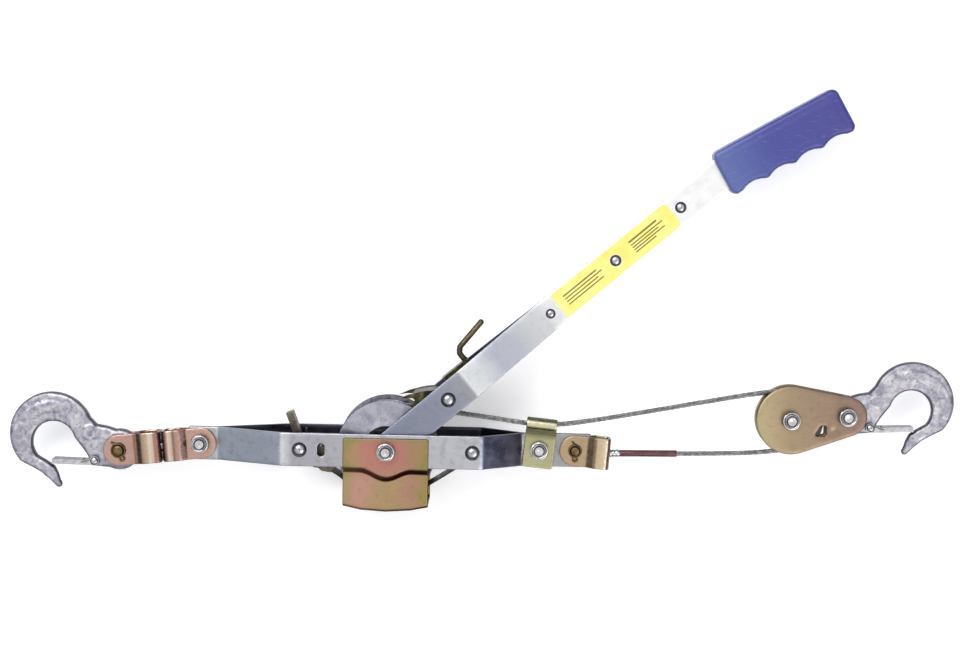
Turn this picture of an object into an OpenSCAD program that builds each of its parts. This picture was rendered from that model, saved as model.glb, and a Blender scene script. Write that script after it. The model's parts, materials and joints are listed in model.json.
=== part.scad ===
// Hand-operated come along winch (cable puller) with a two-part line and a pulley block.
// The winch lies on its back: +Z is up, +X runs along the frame to the pulley block and
// +Y is the side the lever stands on. The drum axle is the Z axis, and the axle bolt's
// head stands on the plane Z = 0. Millimetres.

/* [Frame] */
// Width of each flat frame bar
bar_w = 28.5; // [26:0.5:32]
// Thickness of the frame bars and of the handle straps
bar_t = 3.2; // [2.6:0.1:3.2]
// Width of the frame over both bars, around the drum
frame_w = 60; // [60:0.5:66]
// Distance from the axle to the bend on the block side
bend_right = 80.6; // [80:0.1:84]
// Distance from the axle to the bend on the tail side
bend_left = 88; // [86:0.5:92]
// Distance from the axle to each riveted cross pin
cross_pin_x = 73.3; // [72:0.1:74]

/* [Drum] */
// Radius of the drum's side flanges
flange_r = 42.5; // [42.5:0.1:43]
// Radius of the bare barrel
barrel_r = 26.6; // [24:0.1:26.6]
// Number of ratchet teeth
teeth = 16; // [14:1:20]
// Diameter of the wire rope
rope_d = 4.76; // [4:0.01:4.8]

/* [Handle] */
// Angle of the lever above the frame
handle_angle = 40.5; // [30:0.1:60]
// Distance from the axle to the foot of the grip
grip_at = 367; // [360:1:380]
// Length of the grip
grip_l = 118; // [112:1:124]
// Angle of the grip below the lever's line
grip_bend = 10.8; // [0:0.1:14]
// Thickness of the grip
grip_t = 25; // [20:0.5:28]

/* [Pulley block] */
// Distance from the axle to the sheave's centre, along the frame
block_x = 344; // [340:1:360]
// Distance of the sheave's centre from the frame's centre line
block_y = 30.5; // [30.5:0.5:31]
// Radius at which the rope runs round the sheave
sheave_pitch_r = 25; // [24.5:0.5:25]
// Radius of the cheek plates round the sheave
cheek_r = 29.3; // [29:0.1:31]

/* [Hooks] */
// Thickness of the forged hooks
hook_t = 12.4; // [11:0.1:12.4]
// Outer radius of the hook's eye
eye_r = 17; // [16:0.1:17]
// Radius inside the hook's bowl
bowl_r = 17.8; // [17:0.1:18.5]

/* [Tail] */
// Droop of the tail yoke below the frame's line, in degrees
tail_droop = 5.7; // [0:0.1:10]

/* [Hidden] */
$fn = 64;
// sheet guard and washer under the axle bolt's head set the height of the middle plane
guard_t = 1.6;
washer_t = 2;
head_h = 6.4;
mid_z = frame_w / 2 + guard_t + washer_t + head_h;
bar_in = frame_w / 2 - bar_t;
end_left = -171.4;
end_right = 174.3;
slant_end_left = -146.2;
slant_end_right = 115;
handle_w = 27.6;
handle_out = bar_in - 0.8;
handle_in = handle_out - bar_t;
handle_bend = 90;
handle_join = 175.6;
bolt_r = 4.76;
bore_r = 4.82;
rivet_r = 4;
rivet_bore_r = 4.06;
nut_af = 14.3;
nut_r = nut_af / 2 / cos(30);
pawl_in = 16.9;
pawl_out = 19.5;
drive_pin = 68.4;
drum_half = 16.4;
ratchet_t = 3.3;
flange_t = 1.6;
hub_r = 20.5;
rope_r = rope_d / 2;
wrap_r = 37.5;
keeper_x = 130;
anchor_x = 160.8;
tail_x = -160.5;
yoke_base = 32.7;
sheet_t = 2.4;
yoke_h = 13.3;
eye_gap = 70.2;
eye_x = 391.8;
eye_y = 34.4;
cheek_in = 6.6;
cheek_t = 2.4;
hook_lean_block = 0;
hook_lean_tail = -5.1;
anchor_lean = -4.4;
bowl = [54.8, 5.4];
latch_pin = [20.2, -9.2];
latch_tilt = 2;
tail_hook_scale = 1.035;

// the rope's route from the drum, through the keeper, to the top of the sheave
upper_route = [[4.9, 37.2], [20, 35.2], [35, 33.2], [50, 31.3], [66, 29.4], [82, 27.4], [98, 25.3],
    [112, 23.4], [124, 22.2], [136, 21.7], [150, 22.4], [166, 24.6], [182, 27.2], [200, 30.4],
    [220, 34.2], [240, 38], [260, 41.9], [280, 45.6], [300, 49.4], [320, 52.7], [340.4, 55.24]];
// and from the swaged ferrule to the bottom of the sheave
lower_route = [[199, -1.9], [212, -1.73], [226, -1.54], [240, -1.36], [256, -1.1], [272, -0.7],
    [290, -0.1], [308, 0.7], [326, 2.2], [338, 3.95], [349.04, 6.01]];

// ---- helpers ----

function arc(c, r, a0, a1, n) =
    [for (i = [0:n]) c + r * [cos(a0 + (a1 - a0) * i / n), sin(a0 + (a1 - a0) * i / n)]];
function flip(p) = [for (i = [len(p) - 1:-1:0]) p[i]];
function heading(p, i) =
    let (d = p[min(i + 1, len(p) - 1)] - p[max(i - 1, 0)]) d / norm(d);
function beside(p, d) =
    [for (i = [0:len(p) - 1]) let (u = heading(p, i)) p[i] + d * [-u[1], u[0]]];
// outline of sheet metal of thickness t that follows the middle line p
function strip(p, t) = concat(beside(p, t / 2), flip(beside(p, -t / 2)));
// one point of a smooth curve through the route p, at s from 0 to len(p) - 1
function on_route(p, s) =
    let (i = min(floor(s), len(p) - 2), f = s - i, n = len(p) - 1,
        a = p[max(i - 1, 0)], b = p[i], c = p[i + 1], d = p[min(i + 2, n)])
    0.5 * (2 * b + (c - a) * f + (2 * a - 5 * b + 4 * c - d) * f * f
        + (3 * b - a - 3 * c + d) * f * f * f);

// a flat outline as wide as the middle plane's two sides, from z = -h to z = h
module slab(h) {
    translate([0, 0, mid_z - h]) linear_extrude(2 * h) children();
}

// the same outline on both sides of the middle plane, from |z| = a to |z| = b
module pair(a, b) {
    translate([0, 0, mid_z + a]) linear_extrude(b - a) children();
    translate([0, 0, mid_z - b]) linear_extrude(b - a) children();
}

// a section drawn in x and z, from the middle plane, made w wide across y
module across(w) {
    translate([0, w / 2, mid_z]) rotate([90, 0, 0]) linear_extrude(w) children();
}

module hole(x, y, r) {
    translate([x, y, -50]) cylinder(h = 250, r = r);
}

// round rod from one point to another
module rod(p, q, r) {
    d = q - p;
    translate(p) rotate([0, acos(d[2] / norm(d)), atan2(d[1], d[0])]) cylinder(h = norm(d), r = r);
}

// domed rivet head on the plane z = 0
module dome(r, h) {
    ball = (r * r + h * h) / (2 * h);
    intersection() {
        translate([0, 0, h - ball]) sphere(r = ball);
        cylinder(h = h, r = r + 1);
    }
}

// riveted pin through the middle plane, with a dome beyond |z| = reach on both sides
module rivet(x, y, r, reach, head_r, dome_h) {
    translate([x, y, mid_z]) {
        translate([0, 0, -reach]) cylinder(h = 2 * reach, r = r);
        translate([0, 0, reach]) dome(head_r, dome_h);
        rotate([180, 0, 0]) translate([0, 0, reach]) dome(head_r, dome_h);
    }
}

// hexagon bolt whose head sits under |z| = -reach_rear and whose tip ends at reach_front
module bolt(x, y, reach_rear, reach_front) {
    translate([x, y, mid_z - reach_rear - head_h]) {
        cylinder(h = head_h, r = nut_r, $fn = 6);
        cylinder(h = head_h + reach_rear + reach_front, r = bolt_r);
    }
}

// lock nut with a round collar, standing on |z| = at
module lock_nut(x, y, at) {
    translate([x, y, mid_z + at]) difference() {
        union() {
            cylinder(h = 6.2, r = nut_r, $fn = 6);
            cylinder(h = 8.4, r = 6.1);
        }
        translate([0, 0, -1]) cylinder(h = 12, r = bore_r);
    }
}

// sheet-metal yoke: pin hole at the origin, closed end towards +x, joggled out beyond the ears
module yoke(ear_in, wide_in, joggle_a, joggle_b, base, pin_hole_r, base_hole_r) {
    ear = ear_in + sheet_t / 2;
    wide = wide_in + sheet_t / 2;
    back = base - sheet_t / 2;
    bend = 2;
    half = concat([[-yoke_h - 1, ear], [joggle_a, ear], [joggle_b, wide]],
        arc([back - bend, wide - bend], bend, 90, 0, 5));
    path = concat(half, [for (p = flip(half)) [p[0], -p[1]]]);
    difference() {
        intersection() {
            across(2 * yoke_h) polygon(strip(path, sheet_t));
            union() {
                slab(20) circle(r = yoke_h);
                translate([0, -yoke_h, mid_z - 20]) cube([base, 2 * yoke_h, 40]);
            }
        }
        hole(0, 0, pin_hole_r);
        translate([0, 0, mid_z]) rotate([0, 90, 0]) cylinder(h = base + 5, r = base_hole_r);
    }
}

// split cotter through a pin's end: a wire ring round the pin and a small eye beside it
module cotter(x, y, at, ring_r, turn) {
    wire = 0.8;
    translate([x, y, mid_z + at]) rotate([0, 0, turn]) {
        rotate_extrude() translate([ring_r, 0]) circle(r = wire);
        translate([0, -ring_r - 2.2, 0]) rotate_extrude() translate([1.8, 0]) circle(r = wire);
        rod([0, ring_r, 0], [-2.6, ring_r + 3.4, 0], wire);
    }
}

// smooth tube along a route in the middle plane
module rope(route) {
    steps = 2 * (len(route) - 1);
    sides = 10;
    ring = [for (i = [0:steps])
        let (s = i / 2, p = on_route(route, s),
            d = on_route(route, min(s + 0.1, len(route) - 1)) - on_route(route, max(s - 0.1, 0)),
            u = d / norm(d))
        [for (k = [0:sides - 1])
            let (a = 360 * k / sides)
            [p[0] - u[1] * rope_r * cos(a), p[1] + u[0] * rope_r * cos(a),
                mid_z + rope_r * sin(a)]]];
    points = [for (r = ring) for (q = r) q];
    faces = concat(
        [[for (k = [0:sides - 1]) k]],
        [[for (k = [sides - 1:-1:0]) steps * sides + k]],
        [for (i = [0:steps - 1]) for (k = [0:sides - 1])
            [i * sides + k, (i + 1) * sides + k, i * sides + (k + 1) % sides]],
        [for (i = [0:steps - 1]) for (k = [0:sides - 1])
            [(i + 1) * sides + k, (i + 1) * sides + (k + 1) % sides, i * sides + (k + 1) % sides]]);
    polyhedron(points = points, faces = faces);
}

// ---- frame ----

module frame_bar() {
    far = frame_w / 2 - bar_t / 2;
    near = bar_t / 2;
    path = [[end_left, near], [slant_end_left, near], [-bend_left, far],
        [bend_right, far], [slant_end_right, near], [end_right, near]];
    difference() {
        across(bar_w) polygon(strip(path, bar_t));
        hole(0, 0, bore_r);
        hole(-cross_pin_x, 0, rivet_bore_r);
        hole(cross_pin_x, 0, rivet_bore_r);
        hole(keeper_x, 0, bore_r);
        hole(anchor_x, 0, rivet_bore_r);
        hole(tail_x, 0, bore_r);
        // upright slot for the spring's end
        hole(-55, 2.6, 2.9);
        hole(-55, -2.6, 2.9);
        translate([-57.9, -2.6, -50]) cube([5.8, 5.2, 250]);
    }
}

module frame_bar_front() {
    color("lightgray") frame_bar();
}

module frame_bar_rear() {
    color("lightgray") translate([0, 0, 2 * mid_z]) mirror([0, 0, 1]) frame_bar();
}

module cross_rivets() {
    color("silver") for (x = [-cross_pin_x, cross_pin_x])
        rivet(x, 0, rivet_r, frame_w / 2, 6.4, 3.4);
}

module cross_spacer() {
    color("dimgray") slab(bar_in) difference() {
        translate([cross_pin_x, 0]) circle(r = 5.2);
        translate([cross_pin_x, 0]) circle(r = rivet_bore_r);
    }
}

// leaf that keeps the rope on the drum: looped on the right cross spacer, free on the left
module drum_strap() {
    t = 1.2;
    loop_r = 6.1;
    run_r = 45.6;
    lean = asin((run_r - loop_r) / cross_pin_x);
    path = concat(
        arc([cross_pin_x, 0], loop_r, 200, -90 + lean, 14),
        arc([0, 0], run_r, -90 + lean, -138, 22),
        arc([-64.4, -57.8], 41, 41, 88, 8));
    color("darkslategray") slab(13) polygon(strip(path, t));
}

module axle_bolt() {
    color("silver") bolt(0, 0, frame_w / 2 + guard_t + washer_t, frame_w / 2 + guard_t + 8.2);
}

module axle_washer() {
    color("silver") translate([0, 0, head_h]) difference() {
        cylinder(h = washer_t, r = 11);
        translate([0, 0, -1]) cylinder(h = washer_t + 2, r = bore_r);
    }
}

module frame_nuts() {
    color("whitesmoke") {
        lock_nut(0, 0, frame_w / 2 + guard_t);
        lock_nut(keeper_x, 0, bar_t + 1.5);
        lock_nut(tail_x, 0, bar_t + 0.2 + sheet_t);
    }
}

// folded guard: plates over both bars, joggled in below them along a wave, closed under the drum
module drum_guard() {
    left = -36.4;
    right = 36.1;
    top = 11;
    joggle = 4;
    face = frame_w / 2;
    fold_y = -16.3;
    // height of the fold's lower edge at x
    function wave(x) = fold_y - 0.02 * x - (abs(x) < 22 ? 7 * pow(cos(90 * x / 22), 2) : 0);
    fold = [for (i = [0:16]) let (x = left + (right - left) * i / 16) [x, wave(x)]];
    under = [[right, -48.2], [21, -51.2], [0, -52.6], [-21, -51.4], [left, -48]];
    color("rosybrown") difference() {
        union() {
            pair(face, face + guard_t) polygon(concat([[right, top], [left, top]], fold));
            pair(face - joggle, face + guard_t) polygon(
                concat(fold, [for (p = flip(fold)) p - [0, guard_t]]));
            pair(face - joggle, face - joggle + guard_t) polygon(
                concat(fold, under));
            slab(face - joggle) polygon(concat(under, [for (p = flip(under)) p + [0, guard_t]]));
        }
        hole(0, 0, bore_r);
    }
}

// clip bolted to the frame, rolled round the rope
module rope_keeper() {
    t = 1.5;
    side = bar_t + t / 2;
    roll = 5.05;
    roll_y = 21.4;
    half = concat([[-15.6, side], [16.3, side]], arc([roll_y, 0], roll, 132, 0, 12));
    path = concat(half, [for (i = [len(half) - 2:-1:0]) [half[i][0], -half[i][1]]]);
    color("darkkhaki") translate([keeper_x, 0, 0]) rotate([0, 0, -5.5]) difference() {
        translate([13, 0, mid_z]) rotate([90, 0, 90]) translate([0, 0, -26])
            linear_extrude(26) polygon(strip(path, t));
        hole(0, 0, bore_r);
    }
}

module keeper_bolt() {
    color("silver") bolt(keeper_x, 0, bar_t + 1.5, bar_t + 1.5 + 8.2);
}

module tail_bolt() {
    reach = bar_t + 0.2 + sheet_t;
    color("silver") bolt(tail_x, 0, reach, reach + 8.2);
}

// ---- rope anchor ----

module anchor_bracket() {
    color("tan") translate([anchor_x, 0, 0]) rotate([0, 0, anchor_lean])
        yoke(bar_t + 0.1, 7.6, 11, 17, 29.8, rivet_bore_r, 4);
}

module anchor_pin() {
    reach = bar_t + 0.1 + sheet_t;
    color("darkgoldenrod") translate([anchor_x, 0, mid_z]) {
        translate([0, 0, -reach - 3]) cylinder(h = 3, r = 6);
        translate([0, 0, -reach]) cylinder(h = 2 * reach + 4.5, r = rivet_r);
    }
}

module anchor_cotter() {
    color("darkgoldenrod") cotter(anchor_x, 0, bar_t + 0.1 + sheet_t + 1.4, rivet_r + 0.9, 0);
}

module rope_ferrule() {
    color("gray") translate([0, 0, mid_z]) {
        rod([184, -2.5, 0], [199, -1.9, 0], 3.25);
        translate([182.5, -2.55, 0]) sphere(r = 5);
    }
}

module rope_sleeve() {
    color("maroon") translate([0, 0, mid_z]) difference() {
        rod([199.2, -1.9, 0], [248, -1.25, 0], 3);
        rod([197, -1.93, 0], [250, -1.22, 0], 2.5);
    }
}

module rope_lower_run() {
    color("darkgray") rope(lower_route);
}

module rope_upper_run() {
    color("darkgray") rope(upper_route);
}

// ---- handle, drawn along +x and turned to its angle ----

module on_handle() {
    rotate([0, 0, handle_angle]) children();
}

module handle_strap() {
    far = handle_out - bar_t / 2;
    near = bar_t / 2;
    half = handle_w / 2;
    tang = 96;
    mitre = half * tan(grip_bend / 2);
    path = [[-handle_w, far], [handle_bend, far], [handle_join, near], [grip_at + tang, near]];
    turn = [cos(grip_bend), -sin(grip_bend)];
    side = [sin(grip_bend), cos(grip_bend)];
    tip = [grip_at, 0] + tang * turn;
    on_handle() difference() {
        intersection() {
            across(4 * handle_w) polygon(strip(path, bar_t));
            linear_extrude(2 * mid_z) union() {
                circle(r = half);
                polygon([[0, -half], [grip_at - mitre, -half], tip - half * side,
                    tip + half * side, [grip_at + mitre, half], [0, half]]);
            }
        }
        hole(0, 0, bore_r);
        hole(drive_pin, 0, rivet_bore_r);
        for (x = [180.6, 252, 323]) hole(x, 0, 3.05);
    }
}

module handle_strap_front() {
    color("gainsboro") handle_strap();
}

module handle_strap_rear() {
    color("gainsboro") translate([0, 0, 2 * mid_z]) mirror([0, 0, 1]) handle_strap();
}

module handle_rivets() {
    color("gray") on_handle() {
        rivet(180.6, 0, 3, bar_t, 4.2, 2);
        rivet(252, 0, 3, bar_t, 4.9, 2.4);
        rivet(323, 0, 3, bar_t, 4.9, 2.4);
    }
}

// grip with a straight back, round ends and four finger hollows on the palm side
module handle_grip() {
    pitch = 26;
    ridge_y = -21;
    color("royalblue") on_handle() translate([grip_at, 0, 0]) rotate([0, 0, -grip_bend])
        difference() {
            slab(grip_t / 2) difference() {
                union() {
                    translate([0, ridge_y + 6]) square([grip_l, 19.5 - ridge_y - 12]);
                    translate([6, ridge_y]) square([grip_l - 12, 19.5 - ridge_y]);
                    for (x = [6, grip_l - 6]) for (y = [ridge_y + 6, 13.5]) translate([x, y])
                        circle(r = 6);
                }
                for (i = [0:3]) translate([20 + pitch * i, ridge_y - 17.5]) circle(r = 21);
            }
            translate([-1, -handle_w / 2 - 0.05, mid_z - bar_t - 0.05])
                cube([97.1, handle_w + 0.1, 2 * bar_t + 0.1]);
            rotate([0, 0, grip_bend]) translate([-40, -handle_w / 2 - 0.05, mid_z - bar_t - 0.05])
                cube([40, handle_w + 0.1, 2 * bar_t + 0.1]);
            translate([0, 0, mid_z - bar_t - 0.05])
                cylinder(h = 2 * bar_t + 0.1, r = handle_w / 2 + 0.05);
        }
}

module handle_label() {
    color("khaki") on_handle() translate([0, 0, mid_z + bar_t]) linear_extrude(0.3) difference() {
        union() {
            translate([190, -12]) square([120, 24]);
            translate([190, -7]) square([125, 14]);
            for (y = [-7, 7]) translate([310, y]) circle(r = 5);
        }
        translate([252, 0]) circle(r = 5.4);
    }
}

module drive_pawl_pin() {
    color("silver") on_handle() rivet(drive_pin, 0, rivet_r, handle_out, 6.4, 3.4);
}

// coil between the drive pawl's hub and the front strap
module drive_pawl_spring() {
    color("gray") on_handle() translate([drive_pin, 0, mid_z]) {
        for (z = [-6, -4.2, -2.4, -0.6]) translate([0, 0, z]) rotate_extrude()
            translate([9, 0]) circle(r = 0.95);
        rod([7, 5.6, -0.6], [20, 11.5, -0.6], 0.8);
    }
}

// ---- pawls ----

// drive pawl: hub on the handle's pin, a long and a short nose for the ratchet teeth,
// and a lever plate that runs up the handle to the finger trigger
module drive_pawl() {
    pin = drive_pin * [cos(handle_angle), sin(handle_angle)];
    nose = [[8.4, 42.9], [14, 45.6], [18, 47.3], [22, 48.3], [28, 50], [33, 51], [39, 51.6],
        [44, 51.4], [50, 51], [53, 42], [50, 37], [40, 37.4], [32, 37.8], [24, 38.3],
        [20.3, 38.9], [22.5, 41.8], [25.5, 44.4], [14.5, 44.2]];
    web = [[20.6, 45.8], [25.6, 45], [33, 44.9], [39.6, 46.8], [43.4, 50.8], [39, 51.1],
        [33, 50.5], [28, 49.5], [22.3, 47.8]];
    color("darkolivegreen") difference() {
        union() {
            pair(pawl_in, pawl_out) polygon(nose);
            slab(pawl_in + 1.2) polygon(web);
            slab(22.4) translate(pin) circle(r = 7.2);
            on_handle() pair(7, 9.4) polygon([[drive_pin, -6], [93, 3], [101, 8], [101, 16],
                [75, 16], [drive_pin, 7]]);
            on_handle() slab(9.4) polygon([[74, 13], [101, 13], [101, 16], [74, 16]]);
            pair(7.8, pawl_out - 0.7) polygon([[42, 45], [46, 49.4], [51.4, 50], [54, 44]]);
        }
        hole(pin[0], pin[1], rivet_bore_r);
    }
}

// bent rod trigger standing on the pawl's lever plate
module finger_trigger() {
    r = 2.5;
    path = [[98.8, 16.1, mid_z], [98.8, 23, mid_z], [102.6, 27, mid_z], [132.5, 32.4, mid_z]];
    color("dimgray") on_handle() {
        for (i = [0:2]) rod(path[i], path[i + 1], r);
        for (i = [1:2]) translate(path[i]) sphere(r = r + 0.15);
    }
}

// stop pawl: two side arms that catch the ratchet wheels, a hub and an upright thumb tab
module stop_pawl() {
    arm = [[-70, 6], [-58, 3.5], [-48, -2.5], [-42.2, -7.2], [-42, -9], [-43.4, -15],
        [-47, -20.5], [-55, -19.5], [-66, -10], [-76, -6]];
    tab = [[-77.5, 2], [-71.5, 2], [-78, 20], [-81.6, 29.6], [-87.2, 27.6], [-83.5, 18]];
    color("dimgray") difference() {
        union() {
            pair(pawl_in, pawl_out) polygon(arm);
            slab(bar_in - 0.4) translate([-cross_pin_x, 0]) circle(r = 7.2);
            slab(7) polygon(tab);
        }
        hole(-cross_pin_x, 0, rivet_bore_r);
    }
}

module stop_pawl_spring() {
    color("gray") translate([-cross_pin_x, 0, mid_z]) {
        for (z = [9, 10.8, 12.6, 14.4]) translate([0, 0, z]) rotate_extrude()
            translate([8.7, 0]) circle(r = 0.95);
        rod([7.5, 4.6, 14.4], [18.3, 4, 14.4], 0.8);
        rod([18.3, 4, 13.8], [18.3, 4, 29], 0.8);
        rod([6.5, 6, 9], [4, 16, 9], 0.8);
    }
}

// ---- drum ----

module ring(r, bore) {
    difference() {
        circle(r = r);
        circle(r = bore);
    }
}

module drum_barrel() {
    color("gray") slab(drum_half) ring(barrel_r, bore_r);
}

module ratchet_wheels() {
    tip = 41.2;
    root = 36.6;
    pitch = 360 / teeth;
    profile = [for (i = [0:teeth - 1]) for (r = [root, tip])
        r * [cos(pitch * i), sin(pitch * i)]];
    color("slategray") pair(drum_half, drum_half + ratchet_t) difference() {
        polygon(profile);
        circle(r = bore_r);
    }
}

module drum_flanges() {
    a = drum_half + ratchet_t;
    color("silver") pair(a, a + flange_t) ring(flange_r, bore_r);
}

module drum_hubs() {
    a = drum_half + ratchet_t + flange_t;
    color("black") pair(a, a + 1.1) ring(hub_r, bore_r);
}

// the layers of rope on the barrel, with the last turns lying on the rear side
module wound_rope() {
    color("darkgray") translate([0, 0, mid_z]) rotate_extrude() {
        translate([barrel_r, -drum_half + 0.2]) square([34.7 - barrel_r, 2 * drum_half - 0.4]);
        for (z = [-13.6, -8.5]) {
            translate([wrap_r, z]) circle(r = rope_r);
            translate([34, z - 1.5]) square([wrap_r - 34, 3]);
        }
    }
}

// ---- pulley block ----

// outline of a belt round a circle of radius a about p and one of radius b about q
module teardrop(p, a, q, b) {
    d = q - p;
    along = atan2(d[1], d[0]);
    spread = acos((a - b) / norm(d));
    polygon(concat(arc(p, a, along + spread, along + 360 - spread, 40),
        arc(q, b, along - spread, along + spread, 20)));
}

module cheek() {
    difference() {
        teardrop([block_x, block_y], cheek_r, [eye_x, eye_y], eye_r);
        translate([block_x, block_y]) circle(r = bore_r);
        translate([eye_x, eye_y]) circle(r = bore_r);
        polygon([[364.4, 17.4], [374.2, 17.4], [374.2, 26.2], [369.6, 26.2]]);
    }
}

module block_cheek_front() {
    color("tan") translate([0, 0, mid_z + cheek_in]) linear_extrude(cheek_t) cheek();
}

module block_cheek_rear() {
    color("tan") translate([0, 0, mid_z - cheek_in - cheek_t]) linear_extrude(cheek_t) cheek();
}

module sheave_bolt() {
    reach = cheek_in + cheek_t;
    color("silver") bolt(block_x, block_y, reach, reach + 8.2);
}

module hook_bolt() {
    reach = cheek_in + cheek_t;
    color("silver") bolt(eye_x, eye_y, reach, reach + 8.2);
}

module block_nuts() {
    color("whitesmoke") {
        lock_nut(block_x, block_y, cheek_in + cheek_t);
        lock_nut(eye_x, eye_y, cheek_in + cheek_t);
    }
}

module rope_on_sheave() {
    color("darkgray") translate([block_x, block_y, mid_z]) rotate([0, 0, -78])
        rotate_extrude(angle = 174.8) translate([sheave_pitch_r, 0]) circle(r = rope_r);
}

module sheave() {
    color("slategray") translate([block_x, block_y, mid_z]) rotate_extrude() difference() {
        translate([8, -6]) square([20, 12]);
        translate([sheave_pitch_r, 0]) circle(r = rope_r + 0.35);
        polygon([[sheave_pitch_r, -rope_r - 0.35], [29, -4.2], [29, 4.2],
            [sheave_pitch_r, rope_r + 0.35]]);
    }
}

module sheave_bushing() {
    color("goldenrod") translate([block_x, block_y, 0]) slab(6.3) ring(7.95, bore_r);
}

// ---- hooks, drawn with the eye at the origin, the bowl towards +x and the tip on the -y side ----

module hook_outline(k) {
    eye = arc([0, 0], eye_r, 80, 298, 24);
    lug = concat([[13.8, -14.6]], arc(latch_pin, 4.8, -100, 0, 6), [[26.6, -5], [29.6, -0.4]]);
    inside = arc(bowl, bowl_r, 165, -40, 28);
    beak = concat([[60.6, -10.6], [54.4, -15], [51.4, -20.4], [49.4, -26.6]],
        arc([51, -29.6], 2.9, 160, 310, 6), [[58, -26.2], [65, -20], [72.6, -15.6]]);
    back = arc([56.4, 12.6], 34.8, -42, 157, 32);
    neck = [[19, 20.6], [10, 19]];
    polygon(k * concat(eye, lug, inside, beak, back, neck));
}

module hook(k = 1) {
    difference() {
        slab(hook_t / 2) hook_outline(k);
        hole(0, 0, bore_r);
        hole(k * latch_pin[0], k * latch_pin[1], 2.06);
    }
}

// sheet-metal safety latch: two side plates on the pin, joined by a web along the throat
module latch() {
    side = hook_t / 2 + 0.3;
    t = 1.2;
    difference() {
        union() {
            pair(side, side + t) translate(latch_pin) rotate(latch_tilt) {
                circle(r = 4);
                translate([0, -4]) square([36.6, 4.2]);
            }
            slab(side + t) translate(latch_pin) rotate(latch_tilt)
                translate([11, -1]) square([25.6, 1.2]);
        }
        hole(latch_pin[0], latch_pin[1], 2.06);
    }
}

module latch_rivet() {
    reach = hook_t / 2 + 0.3 + 1.2 + 2.3;
    rivet(latch_pin[0], latch_pin[1], 2, reach, 2.9, 0.9);
}

module latch_coil() {
    at = hook_t / 2 + 0.3 + 1.2;
    translate([latch_pin[0], latch_pin[1], mid_z]) for (z = [at + 0.65, at + 1.65])
        translate([0, 0, z]) rotate_extrude() translate([2.75, 0]) circle(r = 0.52);
}

module at_block_hook() {
    translate([eye_x, eye_y, 0]) rotate([0, 0, hook_lean_block]) children();
}

module block_hook() {
    color("lightslategray") at_block_hook() hook();
}

module block_latch_pin() {
    color("silver") at_block_hook() latch_rivet();
}

module block_latch() {
    color("lightgray") at_block_hook() latch();
}

module block_latch_spring() {
    color("gray") at_block_hook() latch_coil();
}

// ---- tail end, drawn from the tail bolt along the drooping line ----

module on_tail() {
    translate([tail_x, 0, 0]) rotate([0, 0, 180 + tail_droop]) children();
}

module at_tail_hook() {
    on_tail() translate([eye_gap, 0, 0]) rotate([0, 0, hook_lean_tail]) mirror([0, 1, 0])
        children();
}

// the tail hook is a little larger, so its latch sits further out
module at_tail_latch() {
    translate([for (c = latch_pin) (tail_hook_scale - 1) * c]) children();
}

module tail_yoke() {
    color("rosybrown") on_tail() yoke(bar_t + 0.2, 7.6, 12, 18, yoke_base, bore_r, 5.05);
}

// the rivet that joins the yoke and the clevis back to back and lets the clevis turn
module swivel_rivet() {
    inside = yoke_base - sheet_t;
    far = eye_gap - 36.5 + sheet_t + 0.3;
    color("silver") on_tail() translate([0, 0, mid_z]) {
        rod([inside - 3, 0, 0], [inside, 0, 0], 6.6);
        rod([inside - 1, 0, 0], [far + 1, 0, 0], 5);
        rod([far, 0, 0], [far + 3, 0, 0], 6.6);
    }
}

module tail_clevis() {
    color("rosybrown") on_tail() translate([eye_gap, 0, 0]) mirror([1, 0, 0])
        yoke(hook_t / 2 + 0.3, 9.4, 16, 21, 36.5, bore_r, 5.06);
}

module tail_pin() {
    reach = hook_t / 2 + 0.3 + sheet_t;
    color("darkgoldenrod") on_tail() translate([eye_gap, 0, mid_z]) {
        translate([0, 0, -reach - 3]) cylinder(h = 3, r = 7);
        translate([0, 0, -reach]) cylinder(h = 2 * reach + 4.5, r = bolt_r);
    }
}

module tail_cotter() {
    color("darkgoldenrod") on_tail()
        cotter(eye_gap, 0, hook_t / 2 + 0.3 + sheet_t + 1.4, bolt_r + 0.9, 200);
}

module tail_hook() {
    color("lightslategray") at_tail_hook() hook(tail_hook_scale);
}

module tail_latch_pin() {
    color("silver") at_tail_hook() at_tail_latch() latch_rivet();
}

module tail_latch() {
    color("lightgray") at_tail_hook() at_tail_latch() latch();
}

module tail_latch_spring() {
    color("gray") at_tail_hook() at_tail_latch() latch_coil();
}

frame_bar_front();
frame_bar_rear();
cross_rivets();
cross_spacer();
drum_strap();
axle_bolt();
axle_washer();
frame_nuts();
drum_guard();
rope_keeper();
keeper_bolt();
anchor_bracket();
anchor_pin();
anchor_cotter();
rope_ferrule();
rope_sleeve();
rope_lower_run();
rope_upper_run();
stop_pawl_spring();
tail_bolt();
handle_strap_front();
handle_strap_rear();
handle_rivets();
handle_grip();
handle_label();
drive_pawl_pin();
drive_pawl_spring();
drive_pawl();
finger_trigger();
stop_pawl();
drum_barrel();
drum_flanges();
ratchet_wheels();
drum_hubs();
wound_rope();
block_cheek_front();
block_cheek_rear();
sheave_bolt();
hook_bolt();
block_nuts();
rope_on_sheave();
sheave();
sheave_bushing();
block_hook();
block_latch_pin();
block_latch();
block_latch_spring();
tail_yoke();
swivel_rivet();
tail_clevis();
tail_pin();
tail_cotter();
tail_hook();
tail_latch_pin();
tail_latch();
tail_latch_spring();
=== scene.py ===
"""Looks for the come along winch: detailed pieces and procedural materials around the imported
frame. Lengths are in millimetres until piece() writes them in metres. Pieces are drawn from the
middle plane, which the winch lies parallel to, and placed by the matrices below."""
import json
import math

import bmesh
import bpy
import numpy as np
from mathutils import Matrix, Vector
from mathutils.geometry import delaunay_2d_cdt


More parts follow.
